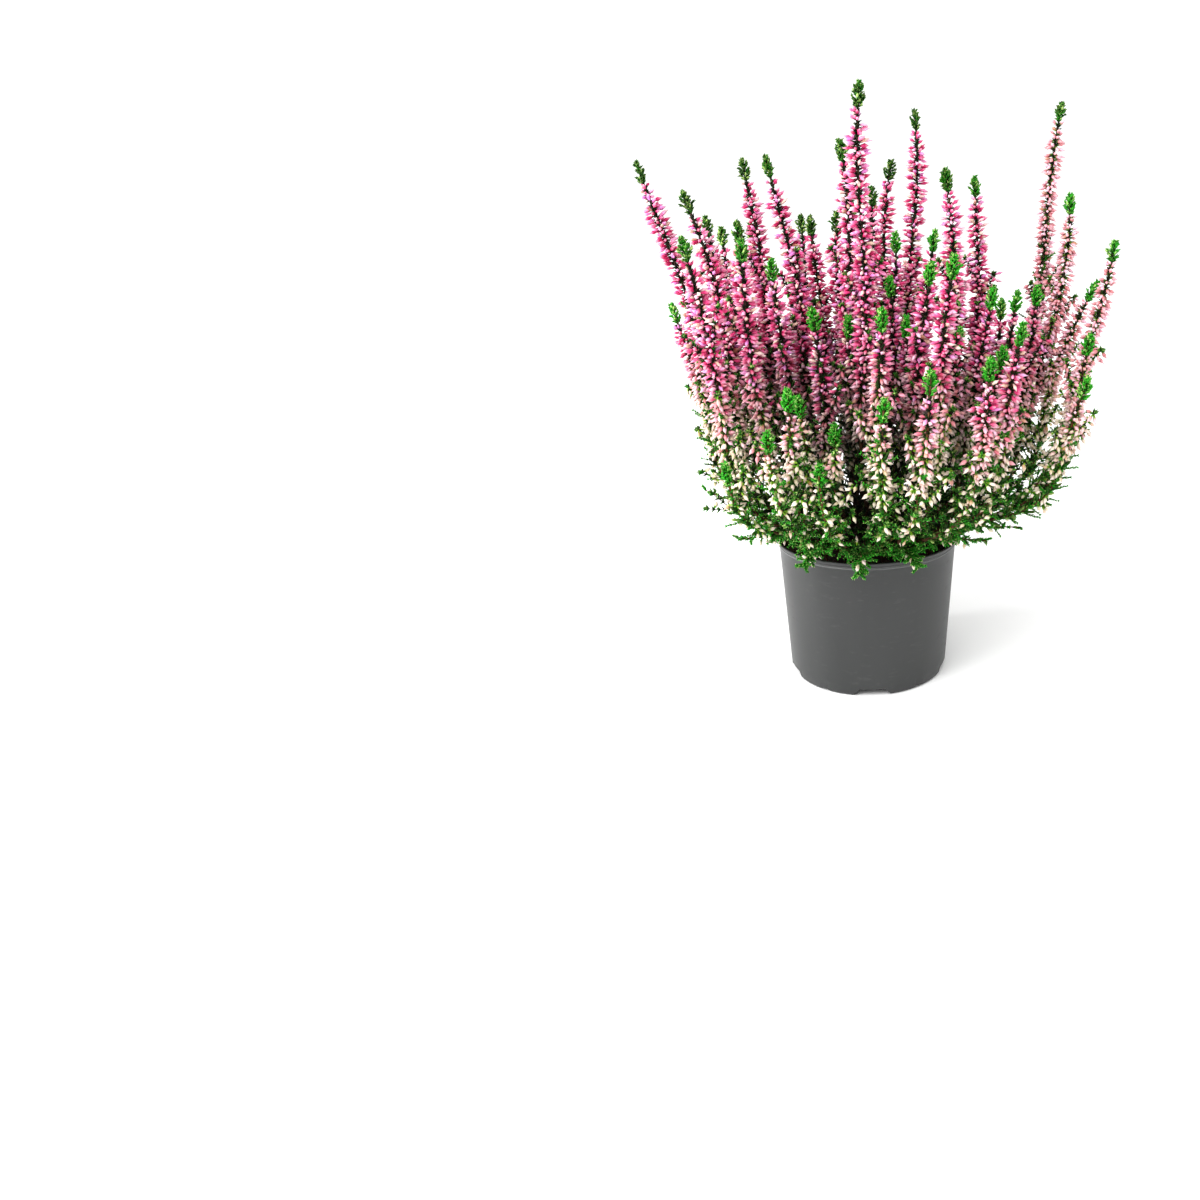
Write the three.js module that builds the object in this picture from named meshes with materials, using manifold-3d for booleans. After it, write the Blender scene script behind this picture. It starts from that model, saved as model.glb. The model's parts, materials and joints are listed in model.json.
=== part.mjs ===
// A bud-flowering heather in a round nursery pot, in millimetres, +Z up.
// The origin is the centre of the pot's flat underside.
// Each woody stem stands in its own hole in the root ball and carries one or two budding spikes.
import * as THREE from "three";
import { mergeVertices } from "three/addons/utils/BufferGeometryUtils.js";
import Module from "manifold-3d";

const wasm = await Module();
wasm.setup();

// Driving dimensions of the pot
const POT_HEIGHT = 81.5;
const RIM_RADIUS = 55;
const RIM_BAND = 4.3;
const SHOULDER_RADIUS = 52.4;
const FOOT_RADIUS = 46.4;
const WALL = 1.4;
const FOOT_BEVEL = 1.6;
const FLOOR_BEVEL = 1.2;
const LEDGE = { width: 1.2, drop: 1, rise: 2 };
const POT_SIDES = 36;

// Notches in the pot's foot: wide ones at every fifth of a turn, small ones halfway between
const NOTCH_COUNT = 5;
const NOTCH_TURN = THREE.MathUtils.degToRad(-87);
const NOTCH_DEPTH = 10;
const SMALL_NOTCH_DEPTH = 4;
const WIDE_NOTCH = { bottom: 22, top: 14, height: 4.3 };
const SMALL_NOTCH = { bottom: 6, top: 4.4, height: 1.1 };
const DRAIN_SLOT = { width: 7, depth: 2.4, cut: 5.6 };

// Root ball
const GAP = 0.3;
const SOIL_TOP = 76;
const SOIL_INSET = 0.45;
const SOIL_EDGE = { width: 4, drop: 1.6 };
const SOIL_SIDES = 24;
const HOLE_DEPTH = 12;
const HOLE_RADIUS = 2;
const HOLE_SIDES = 5;

// Budding spikes
const STEM_RADIUS = 1.3;
const FORK_RADIUS = 1.1;
const SPIKE_CORE = 1.8;
const BUD_REACH = 6.6;
const BUD_RISE = 1.8;
const BUD_DROOP = -2.2;
const PINK_HEIGHT = 135;
const BUD_PITCH = 12.4;
const BUD_TAPER = 0.22;
const LOWER_BUD_SHARE = 0.22;
const UPPER_BUD_SHARE = 0.72;
const FLOWER_LENGTH = 112;
const LEAFY_TIP = 14;
const TIP_CORE = 1.7;
const TIP_REACH = 4;
const TIP_RISE = 3.2;
const FORK_HEIGHT = 85;
const FORK_BLEND = 22;
const FORK_RINGS = [92, 99, 108];
const PAIR_COUNT = 28;
const PAIR_LIMIT = 9;

// How the spikes fan out: each keeps its own place in the soil, times the fan's width at its height
const FAN_FLARE = 1.6;
const FAN_FLARE_HEIGHT = 26;
const FAN_SLOPE = 0.006;
const CROWN_RADIUS = 37;
const SWAY = 2.2;
const SWAY_START = 100;
const SWAY_FULL = 160;
const SWAY_LENGTH = 28;
const BOW_LATENESS = 1.4;

// Heights at which things begin on a stem: needles over the rim, buds at the crown's edge and in its middle
const NEEDLE_HEIGHT = 89;
const NEEDLE_REACH = 3.2;
const NEEDLE_CROWN = 28;
const MIDDLE_CROWN = 16;
const MIDDLE_RINGS = [90, 104];
const RIM_RINGS = [83, NEEDLE_HEIGHT, 96, 105];
const EDGE_BUDS = 98;
const MIDDLE_BUDS = 185;

// Tips of the spikes that stand in view, each [x, y, z] or, where it bows sideways, [x, y, z, bow]
const SPIKE_TIPS = [
  // left side, from the outermost inwards
  [-127, -3, 299, 10], [-119, 35, 217, 4], [-98, -22, 282, 6], [-94, 23, 269, 3], [-91, 60, 263],
  [-88, -78, 258], [-80, -45, 206], [-70, 14, 301], [-70, 42, 265], [-61, -64, 257],
  [-54, -11, 301, 7], [-49, -37, 246],
  // middle
  [-41, 60, 270], [-33, 34, 269], [-13, -16, 309, 6], [-1, -70, 331, -2], [-16, 12, 271], [4, 34, 286],
  [17, 60, 303, -6], [30, 37, 330, 4], [18, 11, 259], [14, -10, 235], [40, -3, 260], [-9, 60, 279],
  // right side, from the middle outwards
  [43, -32, 292, 14], [34, -68, 245], [65, 27, 291, 8], [44, -90, 249], [68, -42, 230], [80, 10, 220],
  [50, -56, 211], [118, 40, 335, 6], [84, -24, 227], [119, 14, 280, 5], [98, -6, 229], [78, -85, 216],
  [72, -60, 201], [60, -100, 201], [138, -18, 254, 4], [137, 12, 230, -14], [121, -41, 205],
  [116, -60, 185],
  // low ones along the front
  [-27, -53, 221], [-8, -44, 216], [9, -80, 223], [22, -47, 216], [5, -28, 196], [-37, -94, 186],
  [-34, -70, 178], [-45, -110, 169], [-15, -83, 166], [7, -87, 161], [-21, -111, 153], [-69, -88, 148],
  [10, -112, 184], [31, -111, 197],
];

// Spikes that fill the back of the crown, by a sunflower spiral
const FILL_COUNT = 90;
const FILL_SPACING = 6.3;
const FILL_FRONT = -10;
const FILL_MIDDLE_HEIGHT = 292;
const FILL_EDGE_DROP = 125;
const FILL_VARIATION = 40;

// Leafy shoots round the pot's rim, each [turn in degrees, reach, tip height]
const LEAFY_SHOOTS = [
  [-13, 92, 90], [-37, 84, 92], [-67, 72, 83], [-93, 68, 80], [-120, 70, 82], [-149, 84, 92],
  [-170, 96, 112], [155, 80, 92], [121, 74, 88], [89, 72, 84], [53, 76, 88], [15, 86, 96],
];
const SHOOT_ROOT = 43.6;
const SHOOT_RISE = 6.5;
const SHOOT_BARE = 24;
const SHOOT_END = 3;
const SHOOT_CORE = 1.3;
const SHOOT_REACH = 3.4;
const SHOOT_RAISE = 2;
const SHOOT_PITCH = 8;

const GOLDEN_TURN = Math.PI * (3 - Math.sqrt(5));

// Materials
const material = (color, roughness) => new THREE.MeshStandardMaterial({ color, roughness, metalness: 0 });
const potPlastic = material(0x5c5c5c, 0.45);
const peat = material(0x3a2a1e, 0.95);
const budPink = material(0xd9688c, 0.6);
const heatherGreen = material(0x4f7a2c, 0.7);

// A repeatable draw between 0 and 1 (Lehmer's rule)
function seededDraw(seed) {
  let state = seed;
  return () => {
    state = (state * 48271) % 2147483647;
    return state / 2147483647;
  };
}

// A closed geometry as a manifold solid, and back
function solidOf(geometry) {
  const bare = geometry.index ? geometry.toNonIndexed() : geometry.clone();
  bare.deleteAttribute("normal");
  bare.deleteAttribute("uv");
  const merged = mergeVertices(bare, 1e-4);
  return new wasm.Manifold(new wasm.Mesh({
    numProp: 3,
    vertProperties: new Float32Array(merged.attributes.position.array),
    triVerts: new Uint32Array(merged.index.array),
  }));
}

function geometryOf(solid) {
  const mesh = solid.getMesh();
  const geometry = new THREE.BufferGeometry();
  geometry.setAttribute("position", new THREE.BufferAttribute(mesh.vertProperties.slice(), 3));
  geometry.setIndex(new THREE.BufferAttribute(mesh.triVerts.slice(), 1));
  geometry.computeVertexNormals();
  return geometry;
}

const named = (name, geometry, look) => Object.assign(new THREE.Mesh(geometry, look), { name });

// A profile of [radius, height] points turned round the pot's axis
function turned(profile, sides) {
  const points = profile.map(([radius, height]) => new THREE.Vector2(radius, height));
  return solidOf(new THREE.LatheGeometry(points, sides).rotateX(Math.PI / 2));
}

// A bar with a trapezoid section, lying flat and pointing outwards at the given turn
function notchBar(notch, grow, inner, outer, turn) {
  const section = new THREE.Shape([
    new THREE.Vector2(-notch.bottom / 2 - grow, -1),
    new THREE.Vector2(notch.bottom / 2 + grow, -1),
    new THREE.Vector2(notch.bottom / 2 + grow, 0),
    new THREE.Vector2(notch.top / 2 + grow, notch.height + grow),
    new THREE.Vector2(-notch.top / 2 - grow, notch.height + grow),
    new THREE.Vector2(-notch.bottom / 2 - grow, 0),
  ]);
  const bar = new THREE.ExtrudeGeometry(section, { depth: outer - inner, bevelEnabled: false });
  bar.translate(0, 0, inner).rotateX(Math.PI / 2).rotateZ(turn + Math.PI / 2);
  return solidOf(bar);
}

const wallSlope = (SHOULDER_RADIUS - FOOT_RADIUS) / (POT_HEIGHT - RIM_BAND - FOOT_BEVEL);
const wallRadius = (height) => FOOT_RADIUS + wallSlope * (height - FOOT_BEVEL);
const shoulderHeight = POT_HEIGHT - RIM_BAND;

function outerProfile() {
  return [
    [0, 0],
    [FOOT_RADIUS - FOOT_BEVEL, 0],
    [FOOT_RADIUS, FOOT_BEVEL],
    [SHOULDER_RADIUS, shoulderHeight - LEDGE.drop],
    [SHOULDER_RADIUS + LEDGE.width, shoulderHeight],
    [RIM_RADIUS, shoulderHeight + LEDGE.rise],
    [RIM_RADIUS, POT_HEIGHT],
  ];
}

function innerProfile() {
  return [
    [RIM_RADIUS - WALL, POT_HEIGHT],
    [RIM_RADIUS - WALL, shoulderHeight + LEDGE.rise],
    [SHOULDER_RADIUS - WALL, shoulderHeight - LEDGE.drop],
    [wallRadius(WALL + FLOOR_BEVEL) - WALL, WALL + FLOOR_BEVEL],
    [FOOT_RADIUS - WALL - FLOOR_BEVEL, WALL],
    [0, WALL],
  ];
}

// Turns of the wide notches, or with an offset of half a step those of the small ones between them
function notchTurns(offset) {
  const step = (2 * Math.PI) / NOTCH_COUNT;
  return Array.from({ length: NOTCH_COUNT }, (_, i) => NOTCH_TURN + (i + offset) * step);
}

// A shell with a covered notch at each wide place, a drain slot in each cover, and small notches between
function makePot() {
  const body = turned([...outerProfile(), ...innerProfile()], POT_SIDES);
  const envelope = turned([...outerProfile(), [0, POT_HEIGHT]], POT_SIDES);
  const slot = new THREE.BoxGeometry(DRAIN_SLOT.depth, DRAIN_SLOT.width, DRAIN_SLOT.cut);
  const slotPlace = FOOT_RADIUS - NOTCH_DEPTH / 2 - DRAIN_SLOT.depth / 2;
  const inside = FOOT_RADIUS - NOTCH_DEPTH;
  let pot = body;
  for (const turn of notchTurns(0)) {
    const cover = notchBar(WIDE_NOTCH, WALL, inside - WALL, RIM_RADIUS, turn).intersect(envelope);
    const drain = slot.clone().translate(slotPlace, 0, WIDE_NOTCH.height).rotateZ(turn);
    pot = pot.add(cover).subtract(notchBar(WIDE_NOTCH, 0, inside, RIM_RADIUS, turn)).subtract(solidOf(drain));
  }
  for (const turn of notchTurns(0.5)) {
    pot = pot.subtract(notchBar(SMALL_NOTCH, 0, FOOT_RADIUS - SMALL_NOTCH_DEPTH, RIM_RADIUS, turn));
  }
  return pot;
}

// The root ball fills the pot's inside, and each stem has a plain hole in it
function makeSoil(stemPlaces) {
  const corner = WALL + FLOOR_BEVEL;
  const edge = SOIL_TOP - SOIL_EDGE.drop;
  const sideAt = (height) => wallRadius(height) - WALL - SOIL_INSET;
  let soil = turned([
    [0, WALL + GAP],
    [FOOT_RADIUS - corner - SOIL_INSET, WALL + GAP],
    [sideAt(corner), corner + GAP],
    [sideAt(edge), edge],
    [sideAt(edge) - SOIL_EDGE.width, SOIL_TOP],
    [0, SOIL_TOP],
  ], SOIL_SIDES);
  const inside = FOOT_RADIUS - NOTCH_DEPTH - WALL - GAP;
  for (const turn of notchTurns(0)) {
    soil = soil.subtract(notchBar(WIDE_NOTCH, WALL + GAP, inside, RIM_RADIUS, turn));
  }
  const hole = new THREE.CylinderGeometry(HOLE_RADIUS, HOLE_RADIUS, 2 * HOLE_DEPTH, HOLE_SIDES);
  hole.rotateX(Math.PI / 2).translate(0, 0, SOIL_TOP - GAP);
  for (const [x, y] of stemPlaces) soil = soil.subtract(solidOf(hole.clone().translate(x, y, 0)));
  return soil;
}

// Width of the fan at a height, as a multiple of its width in the soil
function fan(height) {
  const rise = Math.max(0, height - SOIL_TOP);
  return 1 + FAN_FLARE * (1 - Math.exp(-((rise / FAN_FLARE_HEIGHT) ** 2))) + FAN_SLOPE * rise;
}

// How far a spike of some phase sways from its line at a height: a slow circle, from nothing over the rim
function swayOf(phase, height) {
  const sway = SWAY * THREE.MathUtils.smoothstep(height, SWAY_START, SWAY_FULL);
  const turn = height / SWAY_LENGTH + phase;
  return [sway * Math.cos(turn), sway * Math.sin(turn)];
}

// The spikes in view, then those that fill the crown's back: place in the soil, height, bow and phase
function plantSpikes() {
  const spikes = SPIKE_TIPS.map(([x, y, z, bow = 0], i) => {
    const phase = i * GOLDEN_TURN;
    const [swayX, swayY] = swayOf(phase, z);
    return { x: (x - swayX) / fan(z), y: (y - swayY) / fan(z), tip: z, bow, phase };
  });
  const draw = seededDraw(7);
  for (let i = 0; i < FILL_COUNT; i += 1) {
    const radius = CROWN_RADIUS * Math.sqrt((i + 0.5) / FILL_COUNT);
    const x = radius * Math.cos(i * GOLDEN_TURN);
    const y = radius * Math.sin(i * GOLDEN_TURN);
    const variation = FILL_VARIATION * (draw() - 0.5);
    const near = Math.min(...spikes.map((other) => Math.hypot(other.x - x, other.y - y)));
    if (near < FILL_SPACING || y < FILL_FRONT) continue;
    const tip = FILL_MIDDLE_HEIGHT - FILL_EDGE_DROP * (radius / CROWN_RADIUS) ** 2 + variation;
    spikes.push({ x, y, tip, bow: 0, phase: spikes.length * GOLDEN_TURN });
  }
  return spikes;
}

// Neighbouring spikes share a woody stem, nearest pairs first: the taller one carries the other
function shareStems(spikes) {
  const pairs = [];
  for (let i = 0; i < spikes.length; i += 1) {
    for (let j = i + 1; j < spikes.length; j += 1) {
      pairs.push([Math.hypot(spikes[i].x - spikes[j].x, spikes[i].y - spikes[j].y), i, j]);
    }
  }
  pairs.sort((a, b) => a[0] - b[0]);
  const taken = new Set();
  let made = 0;
  for (const [distance, i, j] of pairs) {
    if (made === PAIR_COUNT || distance > PAIR_LIMIT) break;
    if (taken.has(i) || taken.has(j)) continue;
    taken.add(i).add(j);
    made += 1;
    const [tall, low] = spikes[i].tip >= spikes[j].tip ? [i, j] : [j, i];
    spikes[low].parent = spikes[tall];
    spikes[tall].child = spikes[low];
  }
  return spikes.filter((spike) => !spike.parent);
}

// Centreline of a spike at a height: its own gently swaying and bowed line in the fan, or its parent's
// below the fork. The bow is greatest a little over half-way up.
function centreline(spike, height) {
  const [swayX, swayY] = swayOf(spike.phase, height);
  const share = THREE.MathUtils.clamp((height - SOIL_TOP) / (spike.tip - SOIL_TOP), 0, 1);
  const bow = spike.bow * Math.sin(Math.PI * share ** BOW_LATENESS);
  const own = new THREE.Vector3(
    spike.x * fan(height) + swayX + bow,
    spike.y * fan(height) + swayY,
    height,
  );
  if (!spike.parent) return own;
  const free = THREE.MathUtils.smoothstep(height, FORK_HEIGHT, FORK_HEIGHT + FORK_BLEND);
  return centreline(spike.parent, height).lerp(own, free);
}

// Rings of three points along a line, each turned by half a step, closed at both ends.
// Each ring is { at, radius, reach, rise }: where reach is above 0, every triangle of the band that
// starts there is raised to a point that far from the line, which makes six buds or leaves a band.
function buddedTube(line, rings, sideways, end) {
  const points = [];
  const faces = [];
  const frames = rings.map(({ at }) => {
    const centre = line(at);
    const tangent = line(at + 0.5).sub(line(at - 0.5)).normalize();
    const across = sideways.clone().addScaledVector(tangent, -sideways.dot(tangent)).normalize();
    return { centre, tangent, across, upright: tangent.clone().cross(across) };
  });
  const push = (point) => points.push(point) - 1;
  rings.forEach(({ radius }, i) => {
    const { centre, across, upright } = frames[i];
    for (let k = 0; k < 3; k += 1) {
      const angle = ((k + (i % 2) / 2) * 2 * Math.PI) / 3;
      push(centre.clone()
        .addScaledVector(across, radius * Math.cos(angle))
        .addScaledVector(upright, radius * Math.sin(angle)));
    }
  });
  const raise = (face, i, share) => {
    const { reach, rise } = rings[i];
    const [lower, upper] = [frames[i], frames[i + 1]];
    const centre = lower.centre.clone().lerp(upper.centre, share);
    const tangent = lower.tangent.clone().lerp(upper.tangent, share);
    const middle = face.reduce((sum, v) => sum.add(points[v]), new THREE.Vector3()).divideScalar(3);
    const outward = middle.sub(centre);
    outward.addScaledVector(tangent, -outward.dot(tangent)).normalize();
    const peak = push(centre.addScaledVector(outward, reach).addScaledVector(tangent, rise));
    const [a, b, c] = face;
    faces.push([a, b, peak], [b, c, peak], [c, a, peak]);
  };
  for (let i = 0; i + 1 < rings.length; i += 1) {
    for (let k = 0; k < 3; k += 1) {
      const shift = i % 2;
      const low = [3 * i + k, 3 * i + ((k + 1) % 3)];
      const high = [3 * (i + 1) + ((k + shift) % 3), 3 * (i + 1) + ((k + shift + 2) % 3)];
      const band = [[low[0], low[1], high[0]], [low[0], high[0], high[1]]];
      if (rings[i].reach > 0) {
        raise(band[0], i, LOWER_BUD_SHARE);
        raise(band[1], i, UPPER_BUD_SHARE);
      } else faces.push(...band);
    }
  }
  faces.push([2, 1, 0]);
  const last = 3 * (rings.length - 1);
  const top = push(end);
  for (let k = 0; k < 3; k += 1) faces.push([last + k, last + ((k + 1) % 3), top]);
  const geometry = new THREE.BufferGeometry();
  const flat = faces.flat().flatMap((v) => points[v].toArray());
  geometry.setAttribute("position", new THREE.Float32BufferAttribute(flat, 3));
  return solidOf(geometry);
}

// Height where a spike's lowest buds sit: near the rim at the crown's edge, higher inside it
function lowestBuds(spike) {
  const outerness = Math.min(1, Math.hypot(spike.x, spike.y) / CROWN_RADIUS);
  const inCrown = EDGE_BUDS + (MIDDLE_BUDS - EDGE_BUDS) * (1 - outerness ** 2);
  const high = spike.tip - LEAFY_TIP;
  return THREE.MathUtils.clamp(inCrown, high - FLOWER_LENGTH, high - 2 * BUD_PITCH);
}

// Heights from low to high that cut a spike's centreline into equal lengths of about the given step
function evenHeights(spike, low, high, step) {
  const samples = 120;
  const heights = Array.from({ length: samples + 1 }, (_, i) => low + ((high - low) * i) / samples);
  const points = heights.map((height) => centreline(spike, height));
  const along = [0];
  for (let i = 1; i <= samples; i += 1) along.push(along[i - 1] + points[i].distanceTo(points[i - 1]));
  const count = Math.max(2, Math.round(along[samples] / step));
  return Array.from({ length: count }, (_, i) => {
    const target = (along[samples] * i) / count;
    return heights[along.findIndex((length) => length >= target)];
  });
}

// Heights where a bare stem gets a ring: more of them where it bends over the rim
function stemBends(spike) {
  if (spike.parent) return FORK_RINGS;
  const inMiddle = Math.hypot(spike.x, spike.y) < MIDDLE_CROWN;
  return [SOIL_TOP + GAP, ...(inMiddle ? MIDDLE_RINGS : RIM_RINGS)];
}

// Stems near the crown's edge carry needles where they come over the rim
function hasNeedles(spike, height) {
  return height === NEEDLE_HEIGHT && Math.hypot(spike.x, spike.y) > NEEDLE_CROWN;
}

// One spike: bare stem, whorls of buds and a leafy tip
function makeSpike(spike) {
  const low = lowestBuds(spike);
  const high = spike.tip - LEAFY_TIP;
  const start = spike.parent ? FORK_HEIGHT : SOIL_TOP - HOLE_DEPTH;
  const stem = spike.parent ? FORK_RADIUS : STEM_RADIUS;
  const rings = [start, ...stemBends(spike).filter((z) => z < low - 3)]
    .map((at) => ({ at, radius: stem, reach: hasNeedles(spike, at) ? NEEDLE_REACH : 0, rise: 1 }));
  for (const at of evenHeights(spike, low, high, BUD_PITCH)) {
    const reach = BUD_REACH * (1 - BUD_TAPER * ((at - low) / (high - low)) ** 2);
    const ripeness = Math.min(1, (at - EDGE_BUDS) / (PINK_HEIGHT - EDGE_BUDS));
    const rise = THREE.MathUtils.lerp(BUD_DROOP, BUD_RISE, ripeness);
    rings.push({ at, radius: SPIKE_CORE, reach, rise });
  }
  rings.push({ at: high, radius: TIP_CORE, reach: TIP_REACH, rise: TIP_RISE });
  rings.push({ at: high + 0.8 * LEAFY_TIP, radius: TIP_CORE, reach: 0 });
  const turn = Math.atan2(spike.y, spike.x);
  const sideways = new THREE.Vector3(-Math.sin(turn), Math.cos(turn), 0);
  const line = (height) => centreline(spike, height);
  return buddedTube(line, rings, sideways, line(spike.tip));
}

// One woody stem with its one or two spikes
function makeStem(spike) {
  const main = makeSpike(spike);
  return spike.child ? main.add(makeSpike(spike.child)) : main;
}

// A leafy shoot rises from the soil, passes over the rim and reaches outwards
function makeShoot([degrees, reach, tipHeight]) {
  const turn = THREE.MathUtils.degToRad(degrees);
  const outward = ([radius, height]) =>
    new THREE.Vector3(radius * Math.cos(turn), radius * Math.sin(turn), height);
  const bend = POT_HEIGHT + SHOOT_RISE;
  const curve = new THREE.CatmullRomCurve3([
    [SHOOT_ROOT, SOIL_TOP - HOLE_DEPTH],
    [SHOOT_ROOT, SOIL_TOP - HOLE_DEPTH / 2],
    [SHOOT_ROOT + 0.1, SOIL_TOP],
    [SHOOT_ROOT + 2, POT_HEIGHT],
    [RIM_RADIUS - 3, bend],
    [RIM_RADIUS + 5, bend + 0.3 * (tipHeight - bend)],
    [reach, tipHeight],
  ].map(outward));
  const length = curve.getLength();
  const line = (at) => curve.getPointAt(THREE.MathUtils.clamp(at / length, 0, 1));
  const plainRing = (at) => ({ at, radius: SHOOT_CORE, reach: 0 });
  const rings = [0, HOLE_DEPTH, SHOOT_BARE - HOLE_DEPTH / 2].map(plainRing);
  const leafLength = length - SHOOT_END - SHOOT_BARE;
  const bands = Math.round(leafLength / SHOOT_PITCH);
  for (let i = 0; i < bands; i += 1) {
    const at = SHOOT_BARE + (leafLength * i) / bands;
    rings.push({ at, radius: SHOOT_CORE, reach: SHOOT_REACH, rise: SHOOT_RAISE });
  }
  rings.push({ at: length - SHOOT_END, radius: 0.8 * SHOOT_CORE, reach: 0 });
  const sideways = new THREE.Vector3(-Math.sin(turn), Math.cos(turn), 0);
  return buddedTube(line, rings, sideways, line(length));
}

const number = (i) => String(i + 1).padStart(2, "0");

function makeHeather() {
  const heather = new THREE.Group();
  const stems = shareStems(plantSpikes());
  const shootRoots = LEAFY_SHOOTS.map(([degrees]) => {
    const turn = THREE.MathUtils.degToRad(degrees);
    return [SHOOT_ROOT * Math.cos(turn), SHOOT_ROOT * Math.sin(turn)];
  });
  heather.add(named("pot", geometryOf(makePot()), potPlastic));
  heather.add(named("soil", geometryOf(makeSoil([...stems.map(({ x, y }) => [x, y]), ...shootRoots])), peat));
  stems.forEach((spike, i) => {
    heather.add(named(`flower_stem_${number(i)}`, geometryOf(makeStem(spike)), budPink));
  });
  LEAFY_SHOOTS.forEach((shoot, i) => {
    heather.add(named(`leafy_shoot_${number(i)}`, geometryOf(makeShoot(shoot)), heatherGreen));
  });
  return heather;
}

export default makeHeather();
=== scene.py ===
"""Looks of a bud-flowering heather in a round nursery pot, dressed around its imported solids.

Surfaces are worked out in millimetres in the part's own frame, +Z up, and their meshes are in metres.
Each woody stem, each leafy shoot, the root ball and the pot is one finer mesh in the place of its solid.
"""
import json
import math
from dataclasses import dataclass

import bmesh
import bpy
import numpy as np
from mathutils import Matrix, Vector

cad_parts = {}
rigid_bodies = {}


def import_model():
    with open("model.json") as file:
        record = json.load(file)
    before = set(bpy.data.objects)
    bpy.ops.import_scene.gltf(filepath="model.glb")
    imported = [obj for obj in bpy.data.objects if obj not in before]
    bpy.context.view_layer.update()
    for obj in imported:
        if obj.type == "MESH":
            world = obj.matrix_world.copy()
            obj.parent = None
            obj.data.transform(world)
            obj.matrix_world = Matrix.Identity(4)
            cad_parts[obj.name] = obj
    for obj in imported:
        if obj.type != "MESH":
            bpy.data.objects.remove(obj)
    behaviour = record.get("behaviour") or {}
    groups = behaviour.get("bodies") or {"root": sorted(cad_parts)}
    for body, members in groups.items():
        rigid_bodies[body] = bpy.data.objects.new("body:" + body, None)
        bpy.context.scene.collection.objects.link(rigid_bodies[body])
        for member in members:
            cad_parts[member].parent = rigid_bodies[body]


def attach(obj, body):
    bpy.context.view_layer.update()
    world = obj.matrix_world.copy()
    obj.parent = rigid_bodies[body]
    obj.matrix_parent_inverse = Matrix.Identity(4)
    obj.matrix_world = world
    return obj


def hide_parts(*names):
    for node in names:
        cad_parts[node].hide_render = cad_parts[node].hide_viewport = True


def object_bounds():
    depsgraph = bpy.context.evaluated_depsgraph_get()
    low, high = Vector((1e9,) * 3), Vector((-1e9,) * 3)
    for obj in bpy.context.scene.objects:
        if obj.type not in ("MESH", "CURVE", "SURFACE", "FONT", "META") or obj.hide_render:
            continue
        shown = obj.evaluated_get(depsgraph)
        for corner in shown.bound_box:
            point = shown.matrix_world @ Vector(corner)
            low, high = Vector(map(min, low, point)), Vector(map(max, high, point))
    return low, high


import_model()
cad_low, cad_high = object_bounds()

MM = 0.001

# Driving dimensions of the pot and the root ball, as in the solids
POT_HEIGHT = 81.5
RIM_RADIUS = 55
RIM_BAND = 4.3
SHOULDER_RADIUS = 52.4
FOOT_RADIUS = 46.4
WALL = 1.4
FOOT_BEVEL = 1.6
FLOOR_BEVEL = 1.2
NOTCH_COUNT = 5
NOTCH_TURN = math.radians(-87)
NOTCH_DEPTH = 10
SMALL_NOTCH_DEPTH = 4
WIDE_NOTCH = {"bottom": 22, "top": 14, "height": 4.3}
SMALL_NOTCH = {"bottom": 6, "top": 4.4, "height": 1.1}
DRAIN_SLOT = {"width": 7, "depth": 2.4}
GAP = 0.3
SOIL_TOP = 76
SOIL_INSET = 0.45
HOLE_DEPTH = 12
SHOULDER_HEIGHT = POT_HEIGHT - RIM_BAND
SLOT_PLACE = FOOT_RADIUS - NOTCH_DEPTH / 2 - DRAIN_SLOT["depth"] / 2

# Finer shapes of the pot and the root ball. The step is in radians, the sharp angle in degrees.
BAND_RADIUS = 53.0
LIP_ROUND = 0.5
BEAD_ROUND = 0.55
WALL_HEIGHTS = (8, 20, 34, 48, 62, 72)
POT_STEP = 0.04
SLOT_ROW = 2
MERGE_DISTANCE = 0.01 * MM
SHARP_ANGLE = 32
SOIL_SIDES = 96
SOIL_RINGS = 26
SOIL_WAVES = 7
SOIL_SEED = 5
CRUMB_COUNT = 420

# Driving dimensions of the spikes, as in the solids
LEAFY_TIP = 14
FORK_HEIGHT = 85
FORK_BLEND = 22
PAIR_COUNT = 28
PAIR_LIMIT = 9
FLOWER_LENGTH = 112
BAND_PITCH = 12.4
FAN_FLARE = 1.6
FAN_FLARE_HEIGHT = 26
FAN_SLOPE = 0.006
CROWN_RADIUS = 37
SWAY = 2.2
SWAY_START = 100
SWAY_FULL = 160
SWAY_LENGTH = 28
BOW_LATENESS = 1.4
EDGE_BUDS = 98
MIDDLE_BUDS = 185
FILL_COUNT = 90
FILL_SPACING = 6.3
FILL_FRONT = -10
FILL_MIDDLE_HEIGHT = 292
FILL_EDGE_DROP = 125
FILL_VARIATION = 40
FILL_SEED = 7
GOLDEN_TURN = math.pi * (3 - math.sqrt(5))

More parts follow.
